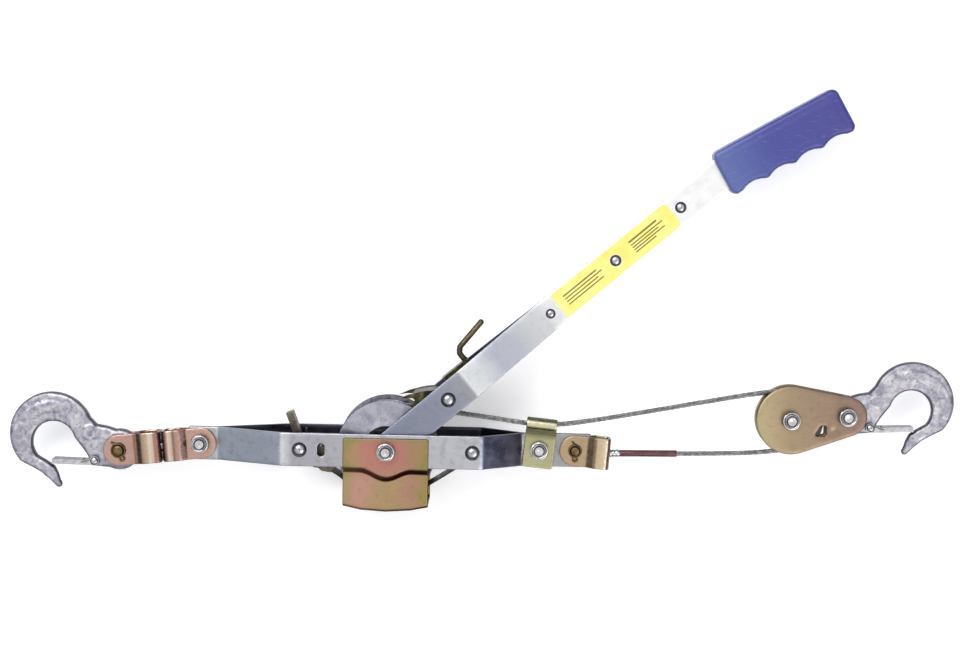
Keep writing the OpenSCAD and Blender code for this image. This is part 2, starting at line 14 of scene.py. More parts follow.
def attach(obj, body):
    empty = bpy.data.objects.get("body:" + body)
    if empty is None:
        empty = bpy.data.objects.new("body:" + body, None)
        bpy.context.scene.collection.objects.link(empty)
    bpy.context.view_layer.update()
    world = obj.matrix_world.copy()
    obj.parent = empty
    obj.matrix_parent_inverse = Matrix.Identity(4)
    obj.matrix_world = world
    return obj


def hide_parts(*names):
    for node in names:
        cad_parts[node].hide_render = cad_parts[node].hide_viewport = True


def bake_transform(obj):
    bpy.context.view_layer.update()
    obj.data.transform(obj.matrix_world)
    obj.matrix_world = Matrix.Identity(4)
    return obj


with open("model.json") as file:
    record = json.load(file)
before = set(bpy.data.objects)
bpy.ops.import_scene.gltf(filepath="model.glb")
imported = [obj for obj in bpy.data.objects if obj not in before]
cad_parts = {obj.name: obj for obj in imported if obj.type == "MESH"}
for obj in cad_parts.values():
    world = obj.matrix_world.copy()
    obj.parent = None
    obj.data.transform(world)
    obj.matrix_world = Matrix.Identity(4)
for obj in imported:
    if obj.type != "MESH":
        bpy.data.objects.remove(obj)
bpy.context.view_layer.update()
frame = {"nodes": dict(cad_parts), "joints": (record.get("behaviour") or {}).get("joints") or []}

# ---- sizes that follow part.scad ----

MM = 0.001
joints = {j["name"]: j for j in frame["joints"]}


def pivot(name):
    """A joint's place, in millimetres."""
    return Vector(joints[name]["pos_m"]) / MM


MID = pivot("handle_swing").z
BAR_T = 3.2
BAR_HALF_W = 14.25
FRAME_HALF = 30.0
END_LEFT = -171.4
END_RIGHT = 174.3
BEND_LEFT = -88.0
BEND_RIGHT = 80.6
SLANT_LEFT = -146.2
SLANT_RIGHT = 115.0
CROSS_X = 73.3
KEEPER_X = 130.0
ANCHOR_X = 160.8
TAIL_X = pivot("tail_yoke_pivot").x
GUARD_T = 1.6
BOLT_R = 4.76
BORE_R = 4.82
NUT_R = 14.3 / 2 / math.cos(math.radians(30))
HEAD_H = 6.4
HANDLE_ANGLE = math.degrees(math.atan2(pivot("drive_pawl_pivot").y, pivot("drive_pawl_pivot").x))
HANDLE_OUT = 26.0
HANDLE_HALF_W = 13.8
HANDLE_BEND = 90.0
HANDLE_JOIN = 175.6
DRIVE_PIN = 68.4
GRIP_AT = 367.0
GRIP_L = 118.0
GRIP_BEND = 10.8
GRIP_T = 25.0
SHEET = 2.4
YOKE_H = 13.3
DROOP = 5.7
EYE_GAP = 70.2
HOOK_T = 12.4
CHEEK_IN = 6.6
ROPE_R = 2.38
BOWL = (54.8, 5.4)
LATCH_PIN = (20.2, -9.2)
TAIL_HOOK_SCALE = 1.035
EYE = pivot("block_hook_pivot")
SHEAVE = pivot("sheave_spin")


def spot(x=0.0, y=0.0, turn=0.0, flip=False):
    """Where a piece stands: at x, y on the middle plane, turned about +Z, and mirrored if flip."""
    m = Matrix.Translation((x, y, 0)) @ Matrix.Rotation(math.radians(turn), 4, "Z")
    return m @ Matrix.Diagonal((1, -1, 1, 1)) if flip else m


ON_FRAME = Matrix.Translation((0, 0, MID))
ON_HANDLE = ON_FRAME @ spot(turn=HANDLE_ANGLE)
ON_GRIP = ON_HANDLE @ spot(GRIP_AT, 0, -GRIP_BEND)
ON_TAIL = ON_FRAME @ spot(TAIL_X, 0, 180 + DROOP)
ON_TAIL_HOOK = ON_TAIL @ spot(EYE_GAP, 0, -5.1, flip=True)
ON_BLOCK_HOOK = ON_FRAME @ spot(EYE.x, EYE.y)

# ---- outlines and paths ----


def arc(x, y, r, start, end, n):
    """Points on a circle from one angle to another, in degrees."""
    angles = np.radians(np.linspace(start, end, n + 1))
    return [(x + r * math.cos(a), y + r * math.sin(a)) for a in angles]


def circle(x, y, r, n=32):
    return arc(x, y, r, 0, 360 - 360 / n, n - 1)


def fillet(points, radius, closed=False):
    """The same line with its corners rounded to a radius, or less where a side is short."""
    p = [Vector(q) for q in points]
    out = [] if closed else [tuple(p[0])]
    for i in range(len(p)) if closed else range(1, len(p) - 1):
        before, here, after = p[i - 1], p[i], p[(i + 1) % len(p)]
        u, v = (before - here), (after - here)
        turn = math.pi - u.angle(v)
        if turn < 0.02:
            out.append(tuple(here))
            continue
        reach = min(radius * math.tan(turn / 2), 0.49 * u.length, 0.49 * v.length)
        r = reach / math.tan(turn / 2)
        a, b = here + u.normalized() * reach, here + v.normalized() * reach
        centre = here + (u.normalized() + v.normalized()).normalized() * (r / math.cos(turn / 2))
        n = max(2, math.ceil(math.degrees(turn) / 7))
        for k in range(n + 1):
            q = (a - centre).lerp(b - centre, k / n).normalized() * r + centre
            out.append(tuple(q))
    if not closed:
        out.append(tuple(p[-1]))
    return out


def resample(loop, step):
    """A closed loop with no side longer than step."""
    p = np.array(loop, float)
    out = []
    for a, b in zip(p, np.roll(p, -1, axis=0)):
        n = max(1, math.ceil(np.linalg.norm(b - a) / step))
        out += [a + (b - a) * k / n for k in range(n)]
    return np.array(out)


def rectangle(x, y, w, h, radius):
    """A rectangle from its low corner, with rounded corners."""
    return fillet([(x, y), (x + w, y), (x + w, y + h), (x, y + h)], radius, closed=True)


def smooth_route(points, step):
    """A smooth curve through points, sampled about every step."""
    p = np.array(points, float)
    p = np.vstack([2 * p[0] - p[1], p, 2 * p[-1] - p[-2]])
    out = []
    for a, b, c, d in zip(p, p[1:], p[2:], p[3:]):
        n = max(1, round(np.linalg.norm(c - b) / step))
        for f in np.arange(n) / n:
            out.append(0.5 * (2 * b + (c - a) * f + (2 * a - 5 * b + 4 * c - d) * f**2
                              + (3 * b - a - 3 * c + d) * f**3))
    return np.array(out + [p[-2]])


def lengths(path):
    """Distance along a path at each of its points."""
    d = np.linalg.norm(np.diff(np.array(path, float), axis=0), axis=1)
    return np.concatenate([[0], np.cumsum(d)])


def folds(path, digits=2):
    """Where a flat sheet needs a column of points to bend along the path."""
    return sorted(set(np.round(lengths(path), digits)))


# ---- meshes: each is (vertices, faces) ----


def quads(rings, sides, closed=False):
    """Faces between rings of points that follow each other."""
    return [(i * sides + k, i * sides + (k + 1) % sides, (i + 1) % rings * sides + (k + 1) % sides,
             (i + 1) % rings * sides + k) for i in range(rings if closed else rings - 1)
            for k in range(sides)]


def gap(points, loops):
    """Distance from each point to the nearest side of the loops."""
    best = np.full(len(points), 1e9)
    for loop in loops:
        for a, b in zip(loop, np.roll(loop, -1, axis=0)):
            ab = b - a
            t = np.clip(((points - a) @ ab) / max(ab @ ab, 1e-12), 0, 1)
            best = np.minimum(best, np.linalg.norm(points - a - t[:, None] * ab, axis=1))
    return best


def inside(points, loops):
    """Whether each point is inside the outer loop and outside the holes."""
    odd = np.zeros(len(points), bool)
    x, y = points[:, 0], points[:, 1]
    for loop in loops:
        for (x0, y0), (x1, y1) in zip(loop, np.roll(loop, -1, axis=0)):
            if y0 != y1:
                odd ^= ((y0 > y) != (y1 > y)) & (x < x0 + (y - y0) * (x1 - x0) / (y1 - y0))
    return odd


def plate(outline, holes=(), thick=2.4, edge=0.6, step=2.5, columns=(), relief=None, deep=None):
    """A plate drawn in x and y whose edges are rounded to the radius edge. relief(x, y, d) is
    what its faces rise, where d is the distance from the edge; deep is its own half thickness."""
    fine = min(step, max(edge, 0.8) * 1.6)
    loops = [resample(outline, fine)] + [resample(h, min(fine, 1.2)) for h in holes]
    rim = np.vstack(loops)
    sides, at = [], 0
    for loop in loops:
        sides += [(at + i, at + (i + 1) % len(loop)) for i in range(len(loop))]
        at += len(loop)
    inner = []
    for loop in loops:
        along = np.roll(loop, -1, axis=0) - np.roll(loop, 1, axis=0)
        normal = np.stack([-along[:, 1], along[:, 0]], 1)
        normal /= np.linalg.norm(normal, axis=1)[:, None] + 1e-12
        for share in (0.12, 0.4, 1.0):
            for sign in (1, -1):
                ring = loop + sign * normal * edge * share
                keep = inside(ring, loops)
                ring = ring[keep]
                if len(ring):
                    inner.append(ring[gap(ring, loops) > 0.93 * edge * share])
    low, high = rim.min(0), rim.max(0)
    xs, ys = np.arange(low[0], high[0], step), np.arange(low[1], high[1], step * 0.866)
    grid = np.array([(x + (i % 2) * step / 2, y) for i, y in enumerate(ys) for x in xs])
    grid = grid[inside(grid, loops)]
    if len(grid):
        grid = grid[gap(grid, loops) > edge + 0.35 * step]
    for c in columns:
        line = np.array([(c, y) for y in np.arange(low[1], high[1], step)])
        line = line[inside(line, loops)]
        if len(line):
            inner.append(line[gap(line, loops) > edge * 1.1])
    flat = np.vstack([rim] + inner + ([grid] if len(grid) else []))
    cdt = delaunay_2d_cdt([Vector(p) for p in flat], sides, [], 0, 1e-5)
    flat = np.array([tuple(v) for v in cdt[0]])
    tris = np.array([f for f in cdt[2] if len(f) == 3])
    tris = tris[inside(flat[tris].mean(1), loops)]
    d = gap(flat, loops)
    half = np.full(len(flat), thick / 2) if deep is None else deep(flat[:, 0], flat[:, 1])
    sink = np.minimum(edge, half) * (1 - np.sqrt(1 - (1 - np.minimum(d / edge, 1)) ** 2))
    top = half - sink
    bottom = -top
    if relief:
        rise = relief(flat[:, 0], flat[:, 1], d)
        top, bottom = top + rise[0], bottom - rise[1]
    n = len(flat)
    verts = np.vstack([np.column_stack([flat, top]), np.column_stack([flat, bottom])])
    faces = [tuple(t) for t in tris] + [(t[2] + n, t[1] + n, t[0] + n) for t in tris]
    count = {}
    for t in tris:
        for a, b in ((t[0], t[1]), (t[1], t[2]), (t[2], t[0])):
            count[(min(a, b), max(a, b))] = count.get((min(a, b), max(a, b)), 0) + 1
    faces += [(a, b, b + n, a + n) for (a, b), c in count.items() if c == 1]
    return verts, faces


def bend(mesh, path, mirror=False):
    """Lays a flat plate along a path of x and z, its own x being the distance along it."""
    verts, faces = mesh
    p = np.array(path, float)
    s = lengths(p)
    along = np.gradient(p, s, axis=0)
    along /= np.linalg.norm(along, axis=1)[:, None]
    normal = np.stack([-along[:, 1], along[:, 0]], 1)
    x = verts[:, 0]
    at = [np.interp(x, s, p[:, k]) for k in (0, 1)]
    up = np.stack([np.interp(x, s, normal[:, k]) for k in (0, 1)], 1)
    up /= np.linalg.norm(up, axis=1)[:, None]
    over = np.where(x < s[0], x - s[0], np.where(x > s[-1], x - s[-1], 0))
    end = np.where((x < s[0])[:, None], along[0], along[-1])
    out = np.column_stack([at[0] + up[:, 0] * verts[:, 2] + over * end[:, 0], verts[:, 1],
                           at[1] + up[:, 1] * verts[:, 2] + over * end[:, 1]])
    if mirror:
        out[:, 2] *= -1
    return out, faces


def frames(path, closed=False):
    """Directions along and across a path that turn as little as they can."""
    p = np.array(path, float)
    if closed:
        t = np.roll(p, -1, axis=0) - np.roll(p, 1, axis=0)
    else:
        t = np.gradient(p, axis=0)
    t /= np.linalg.norm(t, axis=1)[:, None]
    u = np.cross(t[0], (0, 0, 1) if abs(t[0][2]) < 0.9 else (1, 0, 0))
    us = []
    for d in t:
        u = u - d * (u @ d)
        u = u / np.linalg.norm(u)
        us.append(u)
    us = np.array(us)
    return p, us, np.cross(t, us)


def tube(path, radius, sides=10, closed=False, twist=None, offset=0.0):
    """Round rod along a path. With twist, in radians at each point, its centre lies off the path
    by offset and winds round it, as one strand of a rope does."""
    p, u, v = frames(path, closed)
    r = np.broadcast_to(np.asarray(radius, float), (len(p),))
    if twist is not None:
        p = p + offset * (np.cos(twist)[:, None] * u + np.sin(twist)[:, None] * v)
    a = 2 * math.pi * np.arange(sides) / sides
    ring = np.cos(a)[None, :, None] * u[:, None] + np.sin(a)[None, :, None] * v[:, None]
    verts = (p[:, None] + r[:, None, None] * ring).reshape(-1, 3)
    n = len(p)
    faces = quads(n, sides, closed)
    if not closed:
        faces += [tuple(range(sides))[::-1], tuple((n - 1) * sides + k for k in range(sides))]
    return verts, faces


def rope(path, radius=ROPE_R, lay=26.0, strands=6, start=0.0):
    """Stranded wire rope along a path: strands wound round a core."""
    strand_r = radius / 3 * 1.04
    twist = 2 * math.pi * lengths(path) / lay + start
    parts = [tube(path, strand_r * 0.98, 6, twist=twist + 2 * math.pi * k / strands,
                  offset=radius - strand_r) for k in range(strands)]
    return parts + [tube(path, strand_r * 1.1, 6)]


def lathe(profile, sides=48):
    """Profile of radius and height turned about z. A radius of 0 closes it."""
    a = 2 * math.pi * np.arange(sides) / sides
    verts = [(r * math.cos(t), r * math.sin(t), z) for r, z in profile for t in a]
    return np.array(verts, float), quads(len(profile), sides)


def hexagon(bottom, top, chamfer_low, chamfer_high, sides=96):
    """Hexagonal prism about z whose corners are turned off at one or both ends."""
    a = 2 * math.pi * (np.arange(sides) + 0.5) / sides
    flat = NUT_R * math.cos(math.pi / 6) / np.cos((a + math.pi / 6) % (math.pi / 3) - math.pi / 6)
    heights = [bottom, bottom, bottom + 0.45, bottom + 0.9, top - 0.9, top - 0.45, top, top]
    cone = [0, 6.9, 7.6, 9, 9, 7.6, 6.9, 0]
    if not chamfer_low:
        cone[1] = cone[2] = 9
    if not chamfer_high:
        cone[5] = cone[6] = 9
    rings = [np.stack([np.minimum(flat, c) * np.cos(a), np.minimum(flat, c) * np.sin(a),
                       np.full(sides, z)], 1) for z, c in zip(heights, cone)]
    return np.vstack(rings), quads(len(rings), sides)


def moved(mesh, at):
    """The mesh placed by a matrix."""
    m = np.array(at)
    return mesh[0] @ m[:3, :3].T + m[:3, 3], mesh[1]


def lifted(mesh, x=0.0, y=0.0, z=0.0, down=False):
    """The mesh moved to x, y, z, and turned to face down if asked."""
    flip = Matrix.Rotation(math.pi, 4, "X") if down else Matrix()
    return moved(mesh, Matrix.Translation((x, y, z)) @ flip)


def piece(name, parts, material, body, at=ON_FRAME, replaces=(), crease=38):
    """One object made of several meshes, riding on a body."""
    verts, faces = [], []
    n = 0
    for v, f in parts:
        verts.append(moved((v, f), at)[0] * MM)
        faces += [tuple(i + n for i in face) for face in f]
        n += len(v)
    data = bpy.data.meshes.new(name)
    data.from_pydata(np.vstack(verts).tolist(), [], faces)
    bm = bmesh.new()
    bm.from_mesh(data)
    bmesh.ops.remove_doubles(bm, verts=bm.verts, dist=0.004 * MM)
    bmesh.ops.dissolve_degenerate(bm, edges=bm.edges, dist=0.001 * MM)
    bmesh.ops.recalc_face_normals(bm, faces=bm.faces)
    bm.to_mesh(data)
    bm.free()
    data.shade_smooth()
    data.set_sharp_from_angle(angle=math.radians(crease))
    obj = bpy.data.objects.new(name, data)
    bpy.context.scene.collection.objects.link(obj)
    data.materials.append(material)
    if body:
        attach(obj, body)
    if replaces:
        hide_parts(*replaces)
    return obj


# ---- materials ----


def srgb(r, g, b):
    """A colour given as 0 to 255 screen values."""
    return tuple(c / 255 / 12.92 if c <= 10 else ((c / 255 + 0.055) / 1.055) ** 2.4
                 for c in (r, g, b)) + (1.0,)


class Finish:
    """A node material being put together: each method adds nodes and returns a socket."""

    def __init__(self, name, slot, metallic=1.0, roughness=0.3, **sockets):
        self.material = bpy.data.materials.new(name)
        self.material.use_nodes = True
        self.material["slot"] = slot
        self.tree = self.material.node_tree
        self.bsdf = self.tree.nodes["Principled BSDF"]
        self.bsdf.inputs["Metallic"].default_value = metallic
        self.bsdf.inputs["Roughness"].default_value = roughness
        for key, value in sockets.items():
            self.bsdf.inputs[key.replace("_", " ")].default_value = value
        self.coords = self.add("ShaderNodeTexCoord").outputs["Object"]

    def add(self, kind, **settings):
        node = self.tree.nodes.new(kind)
        for key, value in settings.items():
            setattr(node, key, value)
        return node

    def link(self, a, b):
        self.tree.links.new(a, b)

    def put(self, socket, value):
        """Sets a socket to a number or colour, or links it to another socket."""
        if isinstance(value, bpy.types.NodeSocket):
            self.link(value, socket)
        else:
            socket.default_value = value

    def noise(self, size, detail=3.0, stretch=(1, 1, 1), turn=0.0, warp=0.0):
        """Soft noise whose blotches are about size millimetres across."""
        mapping = self.add("ShaderNodeMapping")
        self.link(self.coords, mapping.inputs["Vector"])
        mapping.inputs["Rotation"].default_value = (0, 0, -math.radians(turn))
        mapping.inputs["Scale"].default_value = tuple(1 / s for s in stretch)
        node = self.add("ShaderNodeTexNoise")
        self.link(mapping.outputs[0], node.inputs["Vector"])
        node.inputs["Scale"].default_value = 1 / (size * MM)
        node.inputs["Detail"].default_value = detail
        node.inputs["Distortion"].default_value = warp
        return node.outputs[0]

    def along(self, turn, start, end, at=(0, 0)):
        """0 to 1 from start to end, in millimetres, along a direction in the plane."""
        mapping = self.add("ShaderNodeMapping", vector_type="TEXTURE")
        self.link(self.coords, mapping.inputs["Vector"])
        mapping.inputs["Location"].default_value = (at[0] * MM, at[1] * MM, 0)
        mapping.inputs["Rotation"].default_value = (0, 0, math.radians(turn))
        parts = self.add("ShaderNodeSeparateXYZ")
        self.link(mapping.outputs[0], parts.inputs[0])
        return self.range(parts.outputs[0], start * MM, end * MM, 0, 1)

    def up(self):
        """The z part of the surface's direction, at rest."""
        parts = self.add("ShaderNodeSeparateXYZ")
        self.link(self.add("ShaderNodeTexCoord").outputs["Normal"], parts.inputs[0])
        return parts.outputs[2]

    def facing(self):
        return self.math("ABSOLUTE", self.up())

    def range(self, value, a, b, to_a, to_b):
        node = self.add("ShaderNodeMapRange")
        for key, v in (("Value", value), ("From Min", a), ("From Max", b), ("To Min", to_a),
                       ("To Max", to_b)):
            self.put(node.inputs[key], v)
        return node.outputs[0]

    def math(self, operation, a, b=0.0):
        node = self.add("ShaderNodeMath", operation=operation)
        self.put(node.inputs[0], a)
        self.put(node.inputs[1], b)
        return node.outputs[0]

    def ramp(self, fac, stops):
        node = self.add("ShaderNodeValToRGB")
        self.link(fac, node.inputs[0])
        while len(node.color_ramp.elements) < len(stops):
            node.color_ramp.elements.new(0.5)
        for element, (at, colour) in zip(node.color_ramp.elements, stops):
            element.position = at
            element.color = colour
        return node.outputs[0]

    def mix(self, fac, a, b, blend="MIX"):
        node = self.add("ShaderNodeMix", data_type="RGBA", blend_type=blend)
        self.put(node.inputs[0], fac)
        self.put(node.inputs[6], a)
        self.put(node.inputs[7], b)
        return node.outputs[2]

    def finish(self, colour, rough=None, height=None, strength=0.2, depth=0.1):
        """Links the colour, roughness and bump, and gives the material."""
        self.put(self.bsdf.inputs["Base Color"], colour)
        if rough is not None:
            self.link(rough, self.bsdf.inputs["Roughness"])
        if height is not None:
            node = self.add("ShaderNodeBump")
            node.inputs["Strength"].default_value = strength
            node.inputs["Distance"].default_value = depth * MM
            self.link(height, node.inputs["Height"])
            self.link(node.outputs[0], self.bsdf.inputs["Normal"])
        return self.material


SKY = 1.2  # how bright a face that looks straight up appears


def dim(colour):
    """The base colour that shows as this colour on a face that looks up."""
    return tuple(c / SKY for c in colour[:3]) + (1.0,)


def shades(*stops):
    """Colour stops, each given as a place and three screen values."""
    return [(at, srgb(*rgb)) for at, *rgb in stops]


def dimmed(*stops):
    """The same, as the base colours of a face that looks up."""
    return [(at, dim(colour)) for at, colour in shades(*stops)]


def plated(name, slot, stops, size=14.0, rough=(0.22, 0.42), dirt=0.25, turn=0.0, tint_and_light=None,
           edge=(0.2, 0.62, 0.7), inner=0):
    """Plated steel: blotches of the stops' colours, dull spots, fine scratches and grain.
    tint is (turn, place, share, stops in mm) and colours the piece along its length; its bands carry
    painted highlights and painted shade as well as tone. edge is how the faces that look sideways
    darken with painted shade: from, to and how much. inner is +1 or -1 where the faces that look
    that way along z get painted shade."""
    f = Finish(name, slot)
    colour = f.ramp(f.noise(size, 4, warp=0.6), dimmed(*stops))
    # Painted highlights and painted shade: the bright and dark bands laid along the piece.
    if tint_and_light:
        angle, place, share, colours = tint_and_light
        start, end = colours[0][0], colours[-1][0]
        at = f.along(angle, start, end, place)
        bands = [((mm - start) / (end - start), *rgb) for mm, *rgb in colours]
        colour = f.mix(share, colour, f.ramp(at, dimmed(*bands)))
    spots = f.range(f.noise(size * 0.22, 5), 0.52, 0.72, 0, dirt)
    colour = f.mix(spots, colour, srgb(86, 84, 82), "MULTIPLY")
    lines = f.noise(0.5, 2, stretch=(24, 1, 1), turn=turn)
    colour = f.mix(f.range(lines, 0.55, 0.75, 0, 0.1), colour, srgb(225, 225, 225))
    # Painted shade: the faces that look sideways are darkened, which draws dark outlines along the edges.
    low, high, share = edge
    colour = f.mix(f.range(f.facing(), low, high, share, 0), colour, srgb(58, 56, 60), "MULTIPLY")
    # Painted shade on the inner faces along z, which lie in the shade between the two bars or straps.
    if inner:
        inner_shade = f.range(f.math("MULTIPLY", f.up(), inner), 0.4, 0.6, 0, 0.93)
        colour = f.mix(inner_shade, colour, srgb(40, 40, 58))
    roughness = f.range(f.math("ADD", f.noise(size * 0.5, 3), f.math("MULTIPLY", lines, 0.3)),
                        0.45, 0.85, *rough)
    height = f.math("ADD", f.math("MULTIPLY", lines, 0.3), f.noise(0.9, 4))
    return f.finish(colour, roughness, height, 0.12, 0.06)


GREY = [(0.3, 172, 174, 182), (0.5, 184, 185, 191), (0.7, 196, 196, 200)]
# Painted light along the frame bars: bright bands at the bends are painted highlights, and the darker
# blue-grey over the right slant is painted shade.
BAR_LIGHT_AND_SHADE = [(-172, 160, 164, 164), (-148, 172, 176, 178), (-146, 206, 212, 218),
             (-91, 200, 205, 214), (-89, 228, 230, 232), (-85, 206, 207, 212),
             (-80, 172, 170, 179), (0, 180, 180, 187), (79, 190, 191, 197),
             (82, 150, 155, 184), (98, 140, 138, 162), (114, 120, 112, 124),
             (117, 158, 154, 156), (174, 150, 145, 142)]
# Painted light along the handle straps: the darker blue-grey over the wide legs is painted shade, the bright
# band at the bend is a painted highlight, and the straps grow paler towards the grip.
HANDLE_LIGHT_AND_SHADE = [(-14, 128, 134, 154), (60, 138, 142, 160), (89, 156, 157, 164),
                (90.5, 232, 234, 236), (106, 224, 227, 231), (122, 190, 193, 205),
                (140, 194, 197, 208), (158, 212, 214, 217), (176, 226, 227, 229),
                (192, 248, 248, 248), (370, 254, 254, 254)]


def bar_finish(name, inner):
    return plated(name, "zinc_bar", GREY, 26, tint_and_light=(0, (0, 0), 0.8, BAR_LIGHT_AND_SHADE), inner=inner)


def handle_finish(name, inner):
    return plated(name, "zinc_handle", GREY, 24, (0.26, 0.42), 0.1, HANDLE_ANGLE,
                  (HANDLE_ANGLE, (0, 0), 0.94, HANDLE_LIGHT_AND_SHADE), inner=inner)


# The front and rear copies differ only in which inner faces get painted shade.
bar_front = bar_finish("bar_zinc_front", -1)
bar_rear = bar_finish("bar_zinc_rear", 1)
handle_front = handle_finish("handle_zinc_front", -1)
handle_rear = handle_finish("handle_zinc_rear", 1)
bright_zinc = plated(
    "bright_zinc", "zinc_bright", [(0.3, 190, 188, 190), (0.7, 232, 230, 228)], 5, (0.14, 0.3),
    0.12, edge=(0.35, 0.8, 0.8))
dome_zinc = plated(
    "dome_zinc", "zinc_bright", [(0.3, 168, 168, 172), (0.7, 206, 206, 208)], 4, (0.12, 0.26), 0.2,
    edge=(0.5, 0.95, 0.88))
# Keeper bands: the cream band on the roll is a painted highlight; the dark bands at the neck and over the top
# of the roll are painted shade.
keeper_zinc = plated(
    "keeper_zinc", "keeper_zinc", [(0.3, 168, 164, 118), (0.55, 184, 180, 138),
    (0.75, 192, 186, 150)], 14, (0.2, 0.36), 0.12, tint_and_light=(84.5, (KEEPER_X, 0), 0.75,
    [(-16, 188, 184, 146), (9, 176, 174, 134), (12.4, 120, 120, 84), (14, 56, 56, 36),
    (17.6, 60, 60, 40), (19.4, 150, 148, 112), (21, 226, 222, 190), (24.4, 222, 218, 184),
    (26, 76, 72, 52), (30, 40, 38, 30)]))
# Anchor bands: the pale cream band before the closed end is a painted highlight; the dark lines at the joggle
# and the end are painted shade.
anchor_zinc = plated(
    "anchor_zinc", "anchor_zinc", [(0.3, 168, 146, 112), (0.55, 184, 164, 132),
    (0.75, 196, 178, 146)], 7, (0.22, 0.4), 0.14, tint_and_light=(-4.4, (ANCHOR_X, 0), 0.75,
    [(-14, 186, 160, 124), (9.4, 176, 154, 122), (10.6, 96, 76, 52), (12, 156, 136, 104),
    (16, 148, 128, 96), (17, 90, 72, 50), (18.6, 206, 184, 154), (23, 220, 200, 172),
    (26.4, 240, 228, 206), (27.6, 120, 90, 66), (30, 84, 56, 42)]))
cheek_zinc = plated(
    "cheek_zinc", "cheek_zinc", [(0.3, 154, 134, 108), (0.5, 168, 148, 120), (0.7, 178, 160, 128)],
    22, (0.34, 0.5), 0.12, tint_and_light=(6, (0, 0), 0.8, [(314, 196, 184, 140), (326, 184, 166, 130),
    (346, 162, 142, 116), (372, 150, 126, 108), (408, 138, 112, 104)]), edge=(0.3, 0.85, 0.75))
TAIL_STOPS = [(0.3, 190, 140, 124), (0.5, 198, 162, 148), (0.72, 176, 156, 120)]
# Yoke bands: the cream band near the closed end is a painted highlight; the dark lines at the joggle and the
# end are painted shade.
yoke_zinc = plated(
    "yoke_zinc", "tail_zinc", TAIL_STOPS, 7, (0.2, 0.38), 0.18, tint_and_light=(180 + DROOP, (TAIL_X, 0), 0.7,
    [(-14, 200, 164, 150), (11, 192, 156, 142), (12.2, 84, 54, 44), (14, 196, 160, 150),
    (20, 182, 146, 136), (22.6, 108, 72, 62), (24.4, 216, 190, 172), (27, 236, 220, 204),
    (29, 120, 78, 68), (33, 70, 38, 36)]))
# Clevis bands: the cream band is a painted highlight; the dark lines at the folds and the end are painted
# shade.
hook_end = (ON_TAIL @ Vector((EYE_GAP, 0, 0))).xy
clevis_zinc = plated(
    "clevis_zinc", "tail_zinc", TAIL_STOPS, 7, (0.2, 0.38), 0.18, tint_and_light=(DROOP, tuple(hook_end), 0.7,
    [(-14, 196, 158, 148), (12.6, 190, 152, 142), (14, 96, 60, 50), (16, 150, 110, 98),
    (18, 84, 52, 44), (20, 146, 126, 96), (25, 196, 176, 150), (27, 238, 224, 208),
    (30, 226, 204, 188), (31.5, 166, 116, 104), (34, 150, 100, 90), (36.5, 66, 36, 32)]))
dark_zinc = plated(
    "dark_zinc", "cotter_steel", [(0.3, 84, 66, 44), (0.7, 140, 114, 80)], 4, (0.25, 0.45), 0.3,
    edge=(0.3, 0.9, 0.8))
pawl_steel = plated(
    "pawl_steel", "pawl_steel", [(0.3, 44, 40, 28), (0.5, 74, 68, 44), (0.7, 122, 114, 78)], 7,
    (0.25, 0.5), 0.4)
rod_steel = plated(
    "rod_steel", "pawl_steel", [(0.3, 70, 62, 44), (0.6, 112, 100, 72), (0.8, 160, 148, 112)], 2.5,
    (0.25, 0.45), 0.3, edge=(0.3, 0.95, 0.85))
tab_steel = plated(
    "tab_steel", "pawl_steel", [(0.3, 84, 76, 68), (0.7, 128, 118, 106)], 5, (0.3, 0.5), 0.3)
black_steel = plated(
    "black_steel", "dark_steel", [(0.3, 30, 30, 34), (0.7, 62, 62, 66)], 8, (0.3, 0.5), 0.3)
drum_zinc = plated(
    "drum_zinc", "drum_steel", [(0.28, 146, 146, 160), (0.5, 170, 170, 183), (0.7, 186, 186, 198)],
    9, (0.28, 0.46), 0.3, edge=(0.3, 0.9, 0.85))
wheel_steel = plated(
    "wheel_steel", "drum_steel", [(0.3, 110, 112, 120), (0.7, 150, 150, 158)], 7, (0.3, 0.5), 0.35)
spring_wire = plated(
    "spring_wire", "spring_steel", [(0.3, 110, 106, 98), (0.7, 166, 160, 148)], 3, (0.2, 0.35), 0.3)
latch_zinc = plated(
    "latch_zinc", "latch_steel", [(0.3, 176, 176, 182), (0.7, 218, 218, 222)], 6, (0.2, 0.35), 0.15,
    edge=(0.3, 0.9, 0.85))
# Near-black sheave: its dark colour is painted shade, so the cheek window looks into the shaded inside of the
# block.
sheave_steel = plated(
    "sheave_steel", "sheave_steel", [(0.3, 44, 42, 44), (0.7, 82, 80, 82)], 7, (0.25, 0.4), 0.3)
bronze = plated(
    "bronze", "bushing_bronze", [(0.3, 150, 112, 66), (0.7, 190, 148, 92)], 4, (0.3, 0.45), 0.3)


